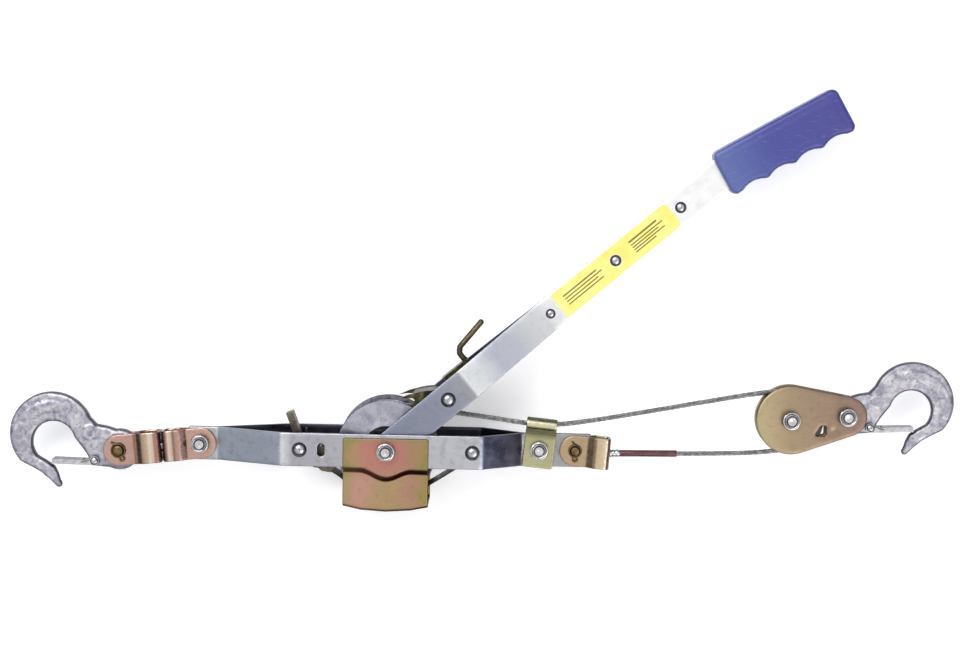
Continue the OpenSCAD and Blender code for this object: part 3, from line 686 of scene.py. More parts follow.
def guard_finish():
    """Yellow passivated zinc: pink in the middle, olive at the rims, with painted shade on the fold's sloping
    faces and on the faces that look sideways.
    """
    f = Finish("guard_zinc", "guard_zinc")
    drift = f.range(f.noise(16, 3), 0.3, 0.7, -0.1, 0.1)
    across = f.math("ADD", f.along(0, -36.4, 36.1), drift)
    upper = f.ramp(across, dimmed(
        (0, 150, 140, 92), (0.12, 172, 142, 108), (0.3, 184, 130, 116), (0.55, 182, 126, 116),
        (0.75, 170, 132, 110), (0.92, 160, 138, 92), (1, 146, 136, 84)))
    lower = f.ramp(across, dimmed(
        (0, 170, 148, 110), (0.15, 192, 146, 132), (0.4, 178, 148, 116), (0.62, 174, 148, 108),
        (0.8, 176, 134, 116), (1, 156, 140, 86)))
    colour = f.mix(f.along(-90, 14, 26), upper, lower)
    top = f.math("ADD", f.along(90, 3, 11), f.range(f.noise(9, 2), 0.3, 0.7, -0.2, 0.2))
    colour = f.mix(f.range(top, 0.5, 1, 0, 0.8), colour, dim(srgb(146, 138, 96)))
    lip = f.range(f.along(-90, 44, 52), 0.1, 1, 0, 0.6)
    colour = f.mix(lip, colour, dim(srgb(160, 142, 96)))
    # Painted shade: the sloping faces of the fold are darkened where the step turns away from the light.
    fold_shade = f.range(f.facing(), 0.8, 0.97, 1, 0)
    fold = f.ramp(across, shades(
        (0, 188, 176, 168), (0.35, 170, 140, 132), (0.55, 120, 74, 70), (0.8, 104, 52, 54),
        (1, 112, 66, 60)))
    colour = f.mix(fold_shade, colour, fold, "MULTIPLY")
    # Painted shade: faces that look sideways are darkened, drawing dark outlines along the edges.
    colour = f.mix(f.range(f.facing(), 0.1, 0.55, 0.8, 0), colour, srgb(84, 76, 46), "MULTIPLY")
    spots = f.range(f.noise(4, 5), 0.56, 0.74, 0, 0.16)
    colour = f.mix(spots, colour, srgb(96, 84, 70), "MULTIPLY")
    grain = f.noise(0.9, 4)
    return f.finish(colour, f.range(f.noise(9, 3), 0.3, 0.7, 0.34, 0.5), grain, 0.1, 0.05)


guard_zinc = guard_finish()


def wire_rope():
    """Galvanised strands: bright wires with dirt, and fine dark flecks of painted shade for the gaps between
    them.
    """
    f = Finish("rope_wire", "rope_steel", roughness=0.42)
    colour = f.ramp(f.noise(3, 4), shades((0.3, 122, 122, 124), (0.55, 168, 168, 170), (0.75, 206, 206, 206)))
    fine = f.noise(0.45, 2)
    # Painted shade: fine dark flecks stand in for the shadowed gaps between the wires.
    colour = f.mix(f.range(fine, 0.42, 0.6, 0.55, 0), colour, srgb(50, 50, 52), "MULTIPLY")
    return f.finish(colour, None, fine, 0.5, 0.15)


def forged():
    """Hot-dip galvanised forging: mottled grey with cast grain, pits and a faint violet tone, and painted
    shade on the faces that look sideways.
    """
    f = Finish("forged_zinc", "hook_steel", metallic=0.85)
    colour = f.ramp(f.noise(8, 5, warp=1.0), dimmed(
        (0.28, 140, 137, 152), (0.45, 170, 168, 180), (0.6, 198, 196, 202), (0.76, 226, 224, 224)))
    # Painted shade: faces that look sideways are darkened, drawing dark outlines round the forging.
    dark = f.range(f.facing(), 0.45, 0.93, 0.9, 0)
    pits = f.range(f.noise(1.7, 5), 0.56, 0.7, 0, 0.55)
    colour = f.mix(pits, colour, srgb(84, 80, 92), "MULTIPLY")
    colour = f.mix(dark, colour, srgb(48, 44, 58), "MULTIPLY")
    rough = f.range(f.noise(4, 4), 0.3, 0.7, 0.3, 0.55)
    height = f.math("SUBTRACT", f.noise(1.5, 6), f.math("MULTIPLY", pits, 0.8))
    return f.finish(colour, rough, height, 0.35, 0.4)


def vinyl(name, slot, stops, size, rough, tint_and_light=None):
    """Moulded vinyl: soft colour changes, fine pores and rubbed patches."""
    f = Finish(name, slot, metallic=0.0, Coat_Weight=0.25, Coat_Roughness=0.22)
    colour = f.ramp(f.noise(size, 3), shades(*stops))
    if tint_and_light:
        turn, start, end, colours, share, at = tint_and_light
        colour = f.mix(share, colour, f.ramp(f.along(turn, start, end, at), shades(*colours)))
    scuffs = f.noise(1.6, 4, stretch=(5, 1, 1), turn=HANDLE_ANGLE - GRIP_BEND)
    colour = f.mix(f.range(scuffs, 0.6, 0.8, 0, 0.25), colour, srgb(150, 160, 200))
    roughness = f.range(f.noise(size * 0.4, 4), 0.3, 0.7, *rough)
    return f.finish(colour, roughness, f.noise(0.7, 3), 0.1, 0.08)


def film():
    """Printed label film: pale yellow with a faint rubbed mottle."""
    f = Finish("label_film", "label_yellow", metallic=0.0, Coat_Weight=0.15)
    colour = f.ramp(f.noise(16, 4), shades((0.3, 232, 216, 104), (0.5, 238, 226, 122), (0.7, 242, 232, 144)))
    return f.finish(colour, f.range(f.noise(2, 3), 0.3, 0.7, 0.35, 0.55), f.noise(0.6, 3), 0.06, 0.04)


def ink(name, slot, colour):
    """Worn printing ink."""
    f = Finish(name, slot, metallic=0.0, roughness=0.5)
    worn = tuple(c * 0.7 for c in colour[:3]) + (1,)
    return f.finish(f.ramp(f.noise(1.2, 4), [(0.35, colour), (0.7, worn)]))


rope_wire = wire_rope()
forged_zinc = forged()
grip_vinyl = vinyl(
    "grip_vinyl", "grip_blue", [(0.3, 48, 48, 124), (0.7, 60, 60, 140)], 18, (0.32, 0.48),
    (HANDLE_ANGLE - GRIP_BEND, 0, 118, [(0, 88, 104, 158), (0.14, 74, 92, 154), (0.4, 52, 58, 138),
    (1, 56, 52, 130)], 0.75, tuple((ON_GRIP @ Vector((0, 0, 0))).xy)))
sleeve_vinyl = vinyl(
    "sleeve_vinyl", "sleeve_vinyl", [(0.3, 66, 24, 30), (0.7, 96, 44, 48)], 5, (0.25, 0.4))
collar_nylon = vinyl(
    "collar_nylon", "zinc_bright", [(0.3, 92, 92, 98), (0.7, 124, 124, 128)], 3, (0.35, 0.5))
label_film = film()
label_ink = ink("label_ink", "label_yellow", srgb(116, 108, 44))


# ---- fasteners, wires and sheet pieces ----


def rivet(r, reach, head_r, rise, dimple=0.9):
    """Riveted pin through the middle plane with a dimpled dome on both sides."""
    ball = (head_r**2 + rise**2) / (2 * rise)
    edge = [(head_r, 0), (head_r * 0.995, 0.18)]
    start = math.asin(head_r * 0.985 / ball)
    cap = [(ball * math.sin(a), rise - ball + ball * math.cos(a))
           for a in np.linspace(start, math.asin((dimple + 0.35) / ball), 14)]
    pit = [(dimple, rise - 0.12), (dimple * 0.7, rise - 0.45), (0, rise - 0.6)]
    half = [(r, 0)] + edge + cap + pit
    up = [(x, z + reach) for x, z in half]
    return lathe([(x, -z) for x, z in up[::-1]] + up, 40)


def bolt(rear, front):
    """Hexagon bolt: head under -rear, threaded tip at front."""
    head = hexagon(-rear - HEAD_H, -rear, True, False)
    raised = lathe([(0, -rear - HEAD_H - 0.25), (5.2, -rear - HEAD_H - 0.25), (5.5, -rear - HEAD_H)], 48)
    shank = [(BOLT_R, -rear)]
    z = front - 9
    while z < front - 1.6:
        shank += [(BOLT_R, z), (BOLT_R - 0.5, z + 0.35), (BOLT_R, z + 0.7)]
        z += 0.8
    shank += [(BOLT_R - 0.15, front - 1.2), (BOLT_R - 1.1, front), (1.2, front), (0.6, front - 0.25),
              (0, front - 0.3)]
    return [head, raised, lathe(shank, 48)]


def lock_nut(at):
    """Lock nut with a round collar, standing on z = at."""
    body = hexagon(at, at + 6.2, True, True)
    collar = lathe([(7.4, at + 5.9), (6.5, at + 6.15), (6.15, at + 6.7), (6.1, at + 7.6),
                    (5.95, at + 8.05), (5.6, at + 8.3), (5.35, at + 8.2), (5.3, at + 7.8),
                    (5.3, at + 5)], 56)
    return [body, collar]


def nut_insert(at):
    """The nylon ring rolled into a lock nut's collar."""
    return [lathe([(5.28, at + 7), (5.25, at + 8), (5.05, at + 8.12), (4.85, at + 8.05),
                   (4.8, at + 7.2)], 56)]


def helix(r, z0, z1, turns, start=0.0, steps=28):
    """Points of a coil about z."""
    n = round(turns * steps)
    return [(r * math.cos(start + 2 * math.pi * turns * i / n),
             r * math.sin(start + 2 * math.pi * turns * i / n), z0 + (z1 - z0) * i / n)
            for i in range(n + 1)]


def cotter(at, r, turn, wire=0.8):
    """Ring cotter: a split ring of wire round the pin, its small eye and its turned-out end."""
    ring = [(r * math.cos(a), r * math.sin(a), at + 0.25 * math.sin(2 * a))
            for a in np.linspace(0, 2 * math.pi, 49)[:-1]]
    eye = [(1.8 * math.cos(a), -r - 2.2 + 1.8 * math.sin(a), at)
           for a in np.linspace(0, 2 * math.pi, 25)[:-1]]
    end = smooth_route([(0.8, r - 0.1, at), (-0.4, r + 0.9, at), (-1.6, r + 2.2, at),
                        (-2.6, r + 3.4, at)], 0.6)
    parts = [tube(ring, wire, 10, closed=True), tube(eye, wire, 10, closed=True),
             tube(end, wire, 10)]
    return [moved(p, spot(turn=turn)) for p in parts]


def strip_at(path, x):
    """Distance along a path of x and z where it first reaches x."""
    p = np.array(path)
    return float(np.interp(x, p[:, 0], lengths(p)))


def unrolled(path, points):
    """Points of the plan, with x changed to distance along the path."""
    return [(strip_at(path, x), y) for x, y in points]


def yoke(ear_in, wide_in, joggle_a, joggle_b, base, pin_r, base_r, edge=0.7):
    """Folded sheet yoke: round ears at the origin, a joggle, and a closed end with a hole."""
    ear, wide, back = ear_in + SHEET / 2, wide_in + SHEET / 2, base - SHEET / 2
    half = [(-YOKE_H, ear), (joggle_a, ear), (joggle_b, wide), (back, wide)]
    path = fillet(half + [(x, -z) for x, z in half[::-1]], 3.0)
    total = lengths(path)[-1]
    n = 24
    ear_arc = arc(YOKE_H, 0, YOKE_H, 90, 270, n)
    far_arc = arc(total - YOKE_H, 0, YOKE_H, -90, 90, n)
    holes = [circle(YOKE_H, 0, pin_r, 36), circle(total - YOKE_H, 0, pin_r, 36)[::-1],
             circle(total / 2, 0, base_r, 36)]
    sheet = plate(ear_arc + far_arc, holes, SHEET, edge, 2.4, columns=folds(path, 3))
    return bend(sheet, path)


# ---- frame ----


def frame_bar(mirror):
    near, far = BAR_T / 2, FRAME_HALF - BAR_T / 2
    path = fillet([(END_LEFT, near), (SLANT_LEFT, near), (BEND_LEFT, far), (BEND_RIGHT, far),
                   (SLANT_RIGHT, near), (END_RIGHT, near)], 7)
    corners = rectangle(0, -BAR_HALF_W, lengths(path)[-1], 2 * BAR_HALF_W, 1.6)
    slot = arc(-55, 2.6, 2.9, 0, 180, 12) + arc(-55, -2.6, 2.9, 180, 360, 12)
    holes = [circle(0, 0, BORE_R), slot, circle(KEEPER_X, 0, BORE_R), circle(TAIL_X, 0, BORE_R)]
    holes = [unrolled(path, h) for h in holes]
    sheet = plate(corners, holes, BAR_T, 0.75, 3.6, columns=folds(path))
    return [bend(sheet, path, mirror)]


piece("bar_front", frame_bar(False), bar_front, "frame", replaces=["frame_bar_front"])
piece("bar_rear", frame_bar(True), bar_rear, "frame", replaces=["frame_bar_rear"])
piece("cross_rivet_pins", [lifted(rivet(4, FRAME_HALF, 6.4, 3.4), x) for x in (-CROSS_X, CROSS_X)],
      dome_zinc, "frame", replaces=["cross_rivets"])
FRAME_NUTS = [(0, FRAME_HALF + GUARD_T), (KEEPER_X, BAR_T + 1.5), (TAIL_X, BAR_T + 0.2 + SHEET)]
piece("frame_lock_nuts", [lifted(m, x) for x, at in FRAME_NUTS for m in lock_nut(at)], bright_zinc,
      "frame", replaces=["frame_nuts"])
piece("frame_nut_inserts", [lifted(m, x) for x, at in FRAME_NUTS for m in nut_insert(at)],
      collar_nylon, "frame")
for name, x, rear, front, node in (("axle", 0, 33.6, 39.8, "axle_bolt"),
                                   ("keeper", KEEPER_X, 4.7, 12.9, "keeper_bolt"),
                                   ("tail", TAIL_X, 5.8, 14.0, "tail_bolt")):
    piece(name + "_hex_bolt", [lifted(m, x) for m in bolt(rear, front)], bright_zinc, "frame",
          replaces=[node])


def grid_sheet(mid, thick, rows, cols):
    """Sheet whose middle is a grid of points and whose border is rounded. rows and cols give each
    row's and column's distance from the border."""
    p = np.array(mid, float)
    normal = np.cross(np.gradient(p, axis=1), np.gradient(p, axis=0))
    normal /= np.linalg.norm(normal, axis=2)[:, :, None]
    d = np.minimum(np.array(rows)[:, None], np.array(cols)[None])
    half = thick / 2 * np.sqrt(np.clip(1 - (1 - np.minimum(d / (thick / 2), 1)) ** 2, 0, 1))
    h, w = d.shape
    verts = np.vstack([(p + normal * half[:, :, None]).reshape(-1, 3),
                       (p - normal * half[:, :, None]).reshape(-1, 3)])
    faces = []
    for i in range(h - 1):
        for k in range(w - 1):
            a, b, c, e = i * w + k, i * w + k + 1, (i + 1) * w + k + 1, (i + 1) * w + k
            faces += [(a, b, c, e), (e + h * w, c + h * w, b + h * w, a + h * w)]
    return verts, faces


BORDER = [0, 0.08, 0.24, 0.5, 0.8]


def smoothstep(f):
    f = np.clip(f, 0, 1)
    return f * f * (3 - 2 * f)


def guard():
    """Folded guard: plates over both bars, joggled in below them along a wave, closed under."""
    top, left, right, corner, fold_r = 11.0, -36.4, 36.1, 1.6, 2.6
    face, low = FRAME_HALF + GUARD_T / 2, FRAME_HALF - 4 + GUARD_T / 2
    widths = BORDER + list(np.linspace(2.4, right - left - 2.4, 58))
    widths += [right - left - b for b in BORDER[::-1]]
    under_x, under_y = [left, -21, 0, 21, right], [-48.0, -51.4, -52.6, -51.2, -48.2]
    columns = []
    for w in widths:
        x = left + w
        wave = -16.3 - 0.02 * x - 7 * math.cos(math.pi * np.clip(x / 44, -0.5, 0.5)) ** 2
        bottom = float(np.interp(x, under_x, under_y)) + GUARD_T / 2
        start, end = wave + 3.2, wave - 3.8
        rows = [(top - b, face) for b in BORDER]
        rows += [(y, face) for y in np.linspace(top - 1.8, start, 12)[:-1]]
        rows += [(start + (end - start) * f, face + (low - face) * smoothstep(f))
                 for f in np.linspace(0, 1, 15)]
        rows += [(y, low) for y in np.linspace(end, bottom + fold_r, 9)[1:-1]]
        rows += [(bottom + fold_r * (1 - math.sin(a)), low - fold_r * (1 - math.cos(a)))
                 for a in np.linspace(0, math.pi / 2, 8)]
        rows += [(bottom, z) for z in np.linspace(low - fold_r, 0, 7)[1:]]
        rows += [(y, -z) for y, z in rows[-2::-1]]
        line = []
        for y, z in rows:
            cut = corner - math.sqrt(max(corner**2 - max(0, y - top + corner) ** 2, 0))
            share = (w / (right - left))
            line.append((left + cut + share * (right - left - 2 * cut), y, z))
        columns.append(line)
    mid = np.array(columns).transpose(1, 0, 2)
    n = len(mid)
    rows = [min(i, n - 1 - i) for i in range(n)]
    rows = [BORDER[i] if i < len(BORDER) else 1 for i in rows]
    cols = [min(w, right - left - w) for w in widths]
    return [grid_sheet(mid, GUARD_T, rows, cols)]


piece("guard_shell", guard(), guard_zinc, "frame", replaces=["drum_guard"])


def keeper():
    """Clip rolled round the rope. Its length runs along y."""
    t, half_w, side = 1.5, 13.0, BAR_T + 0.75
    half = [(-15.6, side), (16.3, side)] + arc(21.4, 0, 5.05, 132, 0, 20)
    path = half + [(y, -z) for y, z in half[-2::-1]]
    total = lengths(path)[-1]
    outline = rectangle(0, -half_w, total, 2 * half_w, 2.2)
    holes = [circle(15.6, 0, BORE_R, 36), circle(total - 15.6, 0, BORE_R, 36)]
    sheet = bend(plate(outline, holes, t, 0.5, 2.4, columns=folds(path)), path)
    return moved(sheet, spot(KEEPER_X, 0, -5.5) @ spot(turn=90))


piece("keeper_clip", [keeper()], keeper_zinc, "frame", replaces=["rope_keeper"])
anchor_at = ON_FRAME @ spot(ANCHOR_X, 0, -4.4)
piece("anchor_yoke", [yoke(BAR_T + 0.1, 7.6, 11, 17, 29.8, 4.06, 4)], anchor_zinc, "frame", anchor_at,
      ["anchor_bracket"])


def clevis_pin(r, head_r, reach):
    """Headed pin: head under -reach, chamfered tip above."""
    return lathe([(0, -reach - 3), (head_r - 0.7, -reach - 3), (head_r - 0.2, -reach - 2.8),
                  (head_r, -reach - 2.3), (head_r, -reach - 0.6), (head_r - 0.25, -reach - 0.1),
                  (head_r - 0.7, -reach), (r, -reach), (r, reach + 3.4), (r - 0.3, reach + 4.1),
                  (r - 1, reach + 4.5), (0, reach + 4.5)], 48)


piece("anchor_clevis_pin", [lifted(clevis_pin(4, 6, 5.7), ANCHOR_X)], dark_zinc, "frame",
      replaces=["anchor_pin"])
piece("anchor_ring_cotter", [lifted(m, ANCHOR_X) for m in cotter(7.1, 4.9, 0)], dark_zinc, "frame",
      replaces=["anchor_cotter"])


def along_line(mesh, a, b):
    """A mesh drawn along +z from the origin, laid from a towards b in the middle plane."""
    d = Vector((b[0] - a[0], b[1] - a[1], 0)).normalized()
    turn = Vector((0, 0, 1)).rotation_difference(d).to_matrix().to_4x4()
    return moved(mesh, Matrix.Translation((a[0], a[1], 0)) @ turn)


FERRULE_FROM = (182.5, -2.55)
FERRULE_TO = (199, -1.9)
SLEEVE_FROM = (199.2, -1.9)
SLEEVE_TO = (248, -1.25)
SLEEVE_L = 48.8


def ferrule():
    """Ball end and swaged barrel with three crimped grooves."""
    profile = [(5 * math.sin(a), -5 * math.cos(a))
               for a in np.linspace(0.001, math.radians(139), 22)]
    profile += [(3.1, 4.1), (3.25, 5)]
    for z in (7.2, 10, 12.8):
        profile += [(3.25, z - 0.8), (3.05, z - 0.3), (3.05, z + 0.3), (3.25, z + 0.8)]
    profile += [(3.25, 15.8), (3.0, 16.5), (2.4, 16.6)]
    return along_line(lathe(profile, 36), FERRULE_FROM, FERRULE_TO)


def sleeve():
    """Vinyl tube over the rope, a little uneven along its length."""
    profile = [(2.5, 0.5), (2.65, 0.05), (2.9, 0), (3, 0.4), (2.94, SLEEVE_L * 0.3),
               (3, SLEEVE_L * 0.6), (2.95, SLEEVE_L * 0.8), (3, SLEEVE_L - 0.4), (2.9, SLEEVE_L),
               (2.65, SLEEVE_L - 0.05), (2.5, SLEEVE_L - 0.5)]
    return along_line(lathe(profile, 36), SLEEVE_FROM, SLEEVE_TO)


piece("swaged_ferrule", [ferrule()], bright_zinc, "frame", replaces=["rope_ferrule"])
piece("vinyl_sleeve", [sleeve()], sleeve_vinyl, "frame", replaces=["rope_sleeve"])

# ---- rope ----

FREE_ROPE_R = 2.2
WRAP_STEPS = 72  # points in each turn on the drum

UPPER = [(4.9, 37.2), (20, 35.2), (35, 33.2), (50, 31.3), (66, 29.4), (82, 27.4), (98, 25.3),
         (112, 23.4), (124, 22.2), (136, 21.7), (150, 22.4), (166, 24.6), (182, 27.2), (200, 30.4),
         (220, 34.2), (240, 38), (260, 41.9), (280, 45.6), (300, 49.4), (320, 52.7), (340.4, 55.24)]
LOWER = [(199, -1.9), (212, -1.73), (226, -1.54), (240, -1.36), (256, -1.1), (272, -0.7), (290, -0.1),
         (308, 0.7), (326, 2.2), (338, 3.95), (349.04, 6.01)]


def free_run(name, route, node):
    """A free run of rope, smoothed through the route's points and left without a body."""
    path = smooth_route([(x, y, 0) for x, y in route], 2.0)
    obj = piece(name, rope(path, FREE_ROPE_R), rope_wire, None, replaces=[node])
    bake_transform(obj)


free_run("rope_run_upper", UPPER, "rope_upper_run")
free_run("rope_run_lower", LOWER, "rope_lower_run")
turn_path = [(SHEAVE.x + x, SHEAVE.y + y, 0) for x, y in arc(0, 0, 25, -78, 96.8, 50)]
piece("rope_round_sheave", rope(turn_path), rope_wire, "block", replaces=["rope_on_sheave"])


def winding():
    """The rope's two layers on the barrel, with a plain core under them."""
    first = helix(32.35, -13.7, 13.7, 6, steps=WRAP_STEPS)
    radius, start, count = 37.2, math.radians(82.5), 200
    second = []
    for k in range(count):
        a = start + 2 * math.pi * k / WRAP_STEPS
        second.append((radius * math.cos(a), radius * math.sin(a), -(13.6 * (k / count))))
    core = lathe([(26.8, -14), (30.2, -14), (30.2, 14), (26.8, 14)], 64)
    return rope(first) + rope(second) + [core]


piece("rope_on_drum", winding(), rope_wire, "drum", replaces=["wound_rope"])

# ---- handle ----


def handle_strap(mirror):
    near, far = BAR_T / 2, HANDLE_OUT - BAR_T / 2
    tang = 96
    path = fillet([(-HANDLE_HALF_W, far), (HANDLE_BEND, far), (HANDLE_JOIN, near),
                   (GRIP_AT + tang, near)], 8)
    bend_turn = math.radians(GRIP_BEND)
    ahead = Vector((math.cos(bend_turn), -math.sin(bend_turn)))
    aside = Vector((math.sin(bend_turn), math.cos(bend_turn))) * HANDLE_HALF_W
    tip = Vector((GRIP_AT, 0)) + ahead * tang
    mitre = HANDLE_HALF_W * math.tan(bend_turn / 2)
    outline = arc(0, 0, HANDLE_HALF_W, 90, 270, 26)
    outline += [(GRIP_AT - mitre, -HANDLE_HALF_W), tuple(tip - aside), tuple(tip + aside),
                (GRIP_AT + mitre, HANDLE_HALF_W)]
    holes = [circle(0, 0, BORE_R, 36), circle(DRIVE_PIN, 0, 4.06, 36)]
    sheet = plate(unrolled(path, outline), [unrolled(path, h) for h in holes], BAR_T, 0.75, 3.6,
                  columns=folds(path))
    return [bend(sheet, path, mirror)]


piece("strap_front", handle_strap(False), handle_front, "handle", ON_HANDLE, ["handle_strap_front"])
piece("strap_rear", handle_strap(True), handle_rear, "handle", ON_HANDLE, ["handle_strap_rear"])
piece("strap_rivets", [lifted(rivet(3, BAR_T, r, h, 0.7), x)
                       for x, r, h in ((180.6, 4.2, 2), (252, 4.9, 2.4), (323, 4.9, 2.4))],
      dome_zinc, "handle", ON_HANDLE, ["handle_rivets"])
piece("pawl_pivot_rivet", [lifted(rivet(4, HANDLE_OUT, 6.4, 3.4), DRIVE_PIN)], dome_zinc, "handle",
      ON_HANDLE, ["drive_pawl_pin"])
coil = helix(9, -6, -0.6, 3.6, math.radians(38.7))
leg = smooth_route([coil[-1], (7, 5.8, -0.6), (12, 8, -0.6), (20, 11.5, -0.6)], 1.2)
piece("pawl_coil", [lifted(tube(coil, 0.95, 10), DRIVE_PIN), lifted(tube(leg, 0.85, 10), DRIVE_PIN)],
      spring_wire, "handle", ON_HANDLE, ["drive_pawl_spring"])


def grip_outline():
    """Straight back, round ends and four finger hollows on the palm side."""
    low, high, corner = -21.0, 19.5, 6.0
    line = arc(GRIP_L - corner, high - corner, corner, 0, 90, 8)
    line += arc(corner, high - corner, corner, 90, 180, 8)
    line += arc(corner, low + corner, corner, 180, 255, 7)
    scallop_r = 21
    reach = math.degrees(math.acos(17.6 / scallop_r))
    for i in range(4):
        centre = 20 + 26 * i
        if i:
            line.append((centre - 12.6, low - 0.02))
        line += arc(centre, low - 17.5, scallop_r, 90 + reach - 3, 90 - reach + 3, 14)
    line += arc(GRIP_L - corner, low + corner, corner, 285, 360, 7)
    return fillet(line, 1.6, closed=True)


def grip_depth(x, y):
    """Half thickness of the grip: a little fuller in the middle than at its ends."""
    return GRIP_T / 2 - 0.5 * ((x - GRIP_L / 2) / (GRIP_L / 2)) ** 2


def grip_relief(x, y, d):
    """A shallow raised panel that follows the outline."""
    rise = 0.5 * smoothstep((d - 7.4) / 0.9)
    return rise, rise


piece("grip_body", [plate(grip_outline(), (), GRIP_T, 3.6, 1.7, relief=grip_relief,
                          deep=grip_depth)], grip_vinyl, "handle", ON_GRIP, ["handle_grip"], 60)


def label_sheet():
    outline = [(190, -12)] + arc(310, -7, 5, -90, 0, 8) + arc(310, 7, 5, 0, 90, 8) + [(190, 12)]
    return plate(outline, [circle(252, 0, 5.4, 40)], 0.3, 0.12, 3)


piece("label", [lifted(label_sheet(), z=BAR_T + 0.17)], label_film, "handle", ON_HANDLE,
      ["handle_label"])


def bars(rows, z):
    """Plain printed bars: each row is x, y, length and height."""
    return [lifted(plate(rectangle(x, y, w, h, 0.2), (), 0.08, 0.03, 2.5), z=z)
            for x, y, w, h in rows]


piece("label_bars", bars([(270, 4.2, 30, 1.5), (270, 1.2, 34, 1.0), (270, -1.2, 28, 1.0),
                          (270, -3.6, 33, 1.0), (270, -6.0, 22, 1.0), (198, 4.0, 36, 1.2),
                          (198, 1.2, 40, 1.0), (198, -1.6, 34, 1.0), (198, -4.4, 38, 1.0)],
                         BAR_T + 0.34), label_ink, "handle", ON_HANDLE)

trigger = fillet([(98.8, 14.1, 0), (98.8, 23, 0), (102.6, 27, 0), (132.5, 32.4, 0)], 3.5)


def rounded_rod(path, r, sides=16):
    """Rod along a path with round ends."""
    p = [Vector(q).to_3d() for q in path]
    first, last = (p[0] - p[1]).normalized(), (p[-1] - p[-2]).normalized()
    cap = [(math.sin(a), math.cos(a)) for a in np.linspace(0.15, math.pi / 2, 5)]
    points = [p[0] + first * (0.9 * c - 0.9) * r for s, c in cap]
    points += p[1:-1]
    points += [p[-1] + last * (0.9 * c - 0.9) * r for s, c in cap[::-1]]
    radii = [s * r for s, c in cap] + [r] * (len(p) - 2) + [s * r for s, c in cap[::-1]]
    return tube([tuple(q) for q in points], radii, sides)


piece("trigger_rod", [rounded_rod(trigger, 2.5)], rod_steel, "drive_pawl", ON_HANDLE,
      ["finger_trigger"])

# ---- springs and drum ----

coil = helix(8.7, 9, 14.4, 3.4, math.radians(80))
leg_a = smooth_route([coil[-1], (9.4, 3.2, 14.4), (14, 3.6, 14.4), (17.2, 4, 14.6), (18.2, 4, 16),
                      (18.3, 4, 20), (18.3, 4, 29)], 1.2)
leg_b = smooth_route([coil[0], (3.6, 11, 9), (4, 16, 9)], 1.2)
piece("stop_coil", [lifted(tube(p, r, 10), -CROSS_X)
                    for p, r in ((coil, 0.95), (leg_a, 0.85), (leg_b, 0.85))],
      spring_wire, "frame", replaces=["stop_pawl_spring"])


def flange(side):
    """Pressed drum flange with a slightly raised rim."""
    a = 19.7
    outer = [(5.2, a), (42.1, a), (42.5, a + 0.35), (42.5, a + 1.25), (42.1, a + 1.6), (41.4, a + 1.6),
             (40.9, a + 1.4), (24, a + 1.4), (23, a + 1.6), (5.2, a + 1.6), (5.2, a)]
    return lathe([(r, side * z) for r, z in outer], 96)


piece("drum_discs", [flange(1), flange(-1)], drum_zinc, "drum", replaces=["drum_flanges"])

# ---- pulley block ----


def belt(p, a, q, b):
    """Outline round a circle of radius a about p and one of radius b about q."""
    d = Vector(q) - Vector(p)
    along = math.degrees(math.atan2(d.y, d.x))
    spread = math.degrees(math.acos((a - b) / d.length))
    return arc(*p, a, along + spread, along + 360 - spread, 60) + arc(*q, b, along - spread,
                                                                      along + spread, 30)


def cheek(sign):
    eye, centre = (EYE.x, EYE.y), (SHEAVE.x, SHEAVE.y)
    window = fillet([(364.4, 17.4), (374.2, 17.4), (374.2, 26.2), (369.6, 26.2)], 1.4, closed=True)

    def relief(x, y, d):
        dent = 1.1 * np.exp(-((x - 381) ** 2 + (y - 22) ** 2) / 5.5)
        lip = 0.35 * smoothstep(1 - d / 2.6)
        rise = -dent - lip
        return (rise, -rise) if sign > 0 else (-rise, rise)

    outline = belt(centre, 29.3, eye, 17)
    sheet = plate(outline, [circle(*centre, BORE_R), window, circle(*eye, BORE_R)], SHEET, 0.8, 2.2,
                  relief=relief)
    return [lifted(sheet, z=sign * (CHEEK_IN + SHEET / 2))]


piece("cheek_front", cheek(1), cheek_zinc, "block", replaces=["block_cheek_front"])
piece("cheek_rear", cheek(-1), cheek_zinc, "block", replaces=["block_cheek_rear"])
for name, at, node in (("sheave", SHEAVE, "sheave_bolt"), ("hook", EYE, "hook_bolt")):
    piece(name + "_hex_bolt", [lifted(m, at.x, at.y) for m in bolt(9, 17.2)], bright_zinc, "block",
          replaces=[node])
piece("block_lock_nuts", [lifted(m, at.x, at.y) for at in (SHEAVE, EYE) for m in lock_nut(9)],
      bright_zinc, "block", replaces=["block_nuts"])
piece("block_nut_inserts", [lifted(m, at.x, at.y) for at in (SHEAVE, EYE) for m in nut_insert(9)],
      collar_nylon, "block")

# ---- hooks ----


def hook_outline(scale):
    line = arc(0, 0, 17, 80, 298, 44) + [(13.8, -14.6)]
    line += arc(*LATCH_PIN, 4.8, -100, 0, 10) + [(26.6, -5), (29.6, -0.4)]
    line += arc(*BOWL, 17.8, 165, -40, 56)
    line += [(60.6, -10.6), (54.4, -15), (51.4, -20.4), (49.4, -26.6)]
    line += arc(51, -29.6, 2.9, 160, 310, 10) + [(58, -26.2), (65, -20), (72.6, -15.6)]
    line += arc(56.4, 12.6, 34.8, -42, 157, 64) + [(19, 20.6), (10, 19)]
    return fillet([(scale * x, scale * y) for x, y in line], 2.4, closed=True)


def hook_depth(x, y):
    """Half thickness: full at the eye and the bowl, thinner towards the tip."""
    tip = smoothstep((64 - x) / 16) * smoothstep((-12 - y) / 12)
    return HOOK_T / 2 * (1 - 0.42 * tip)


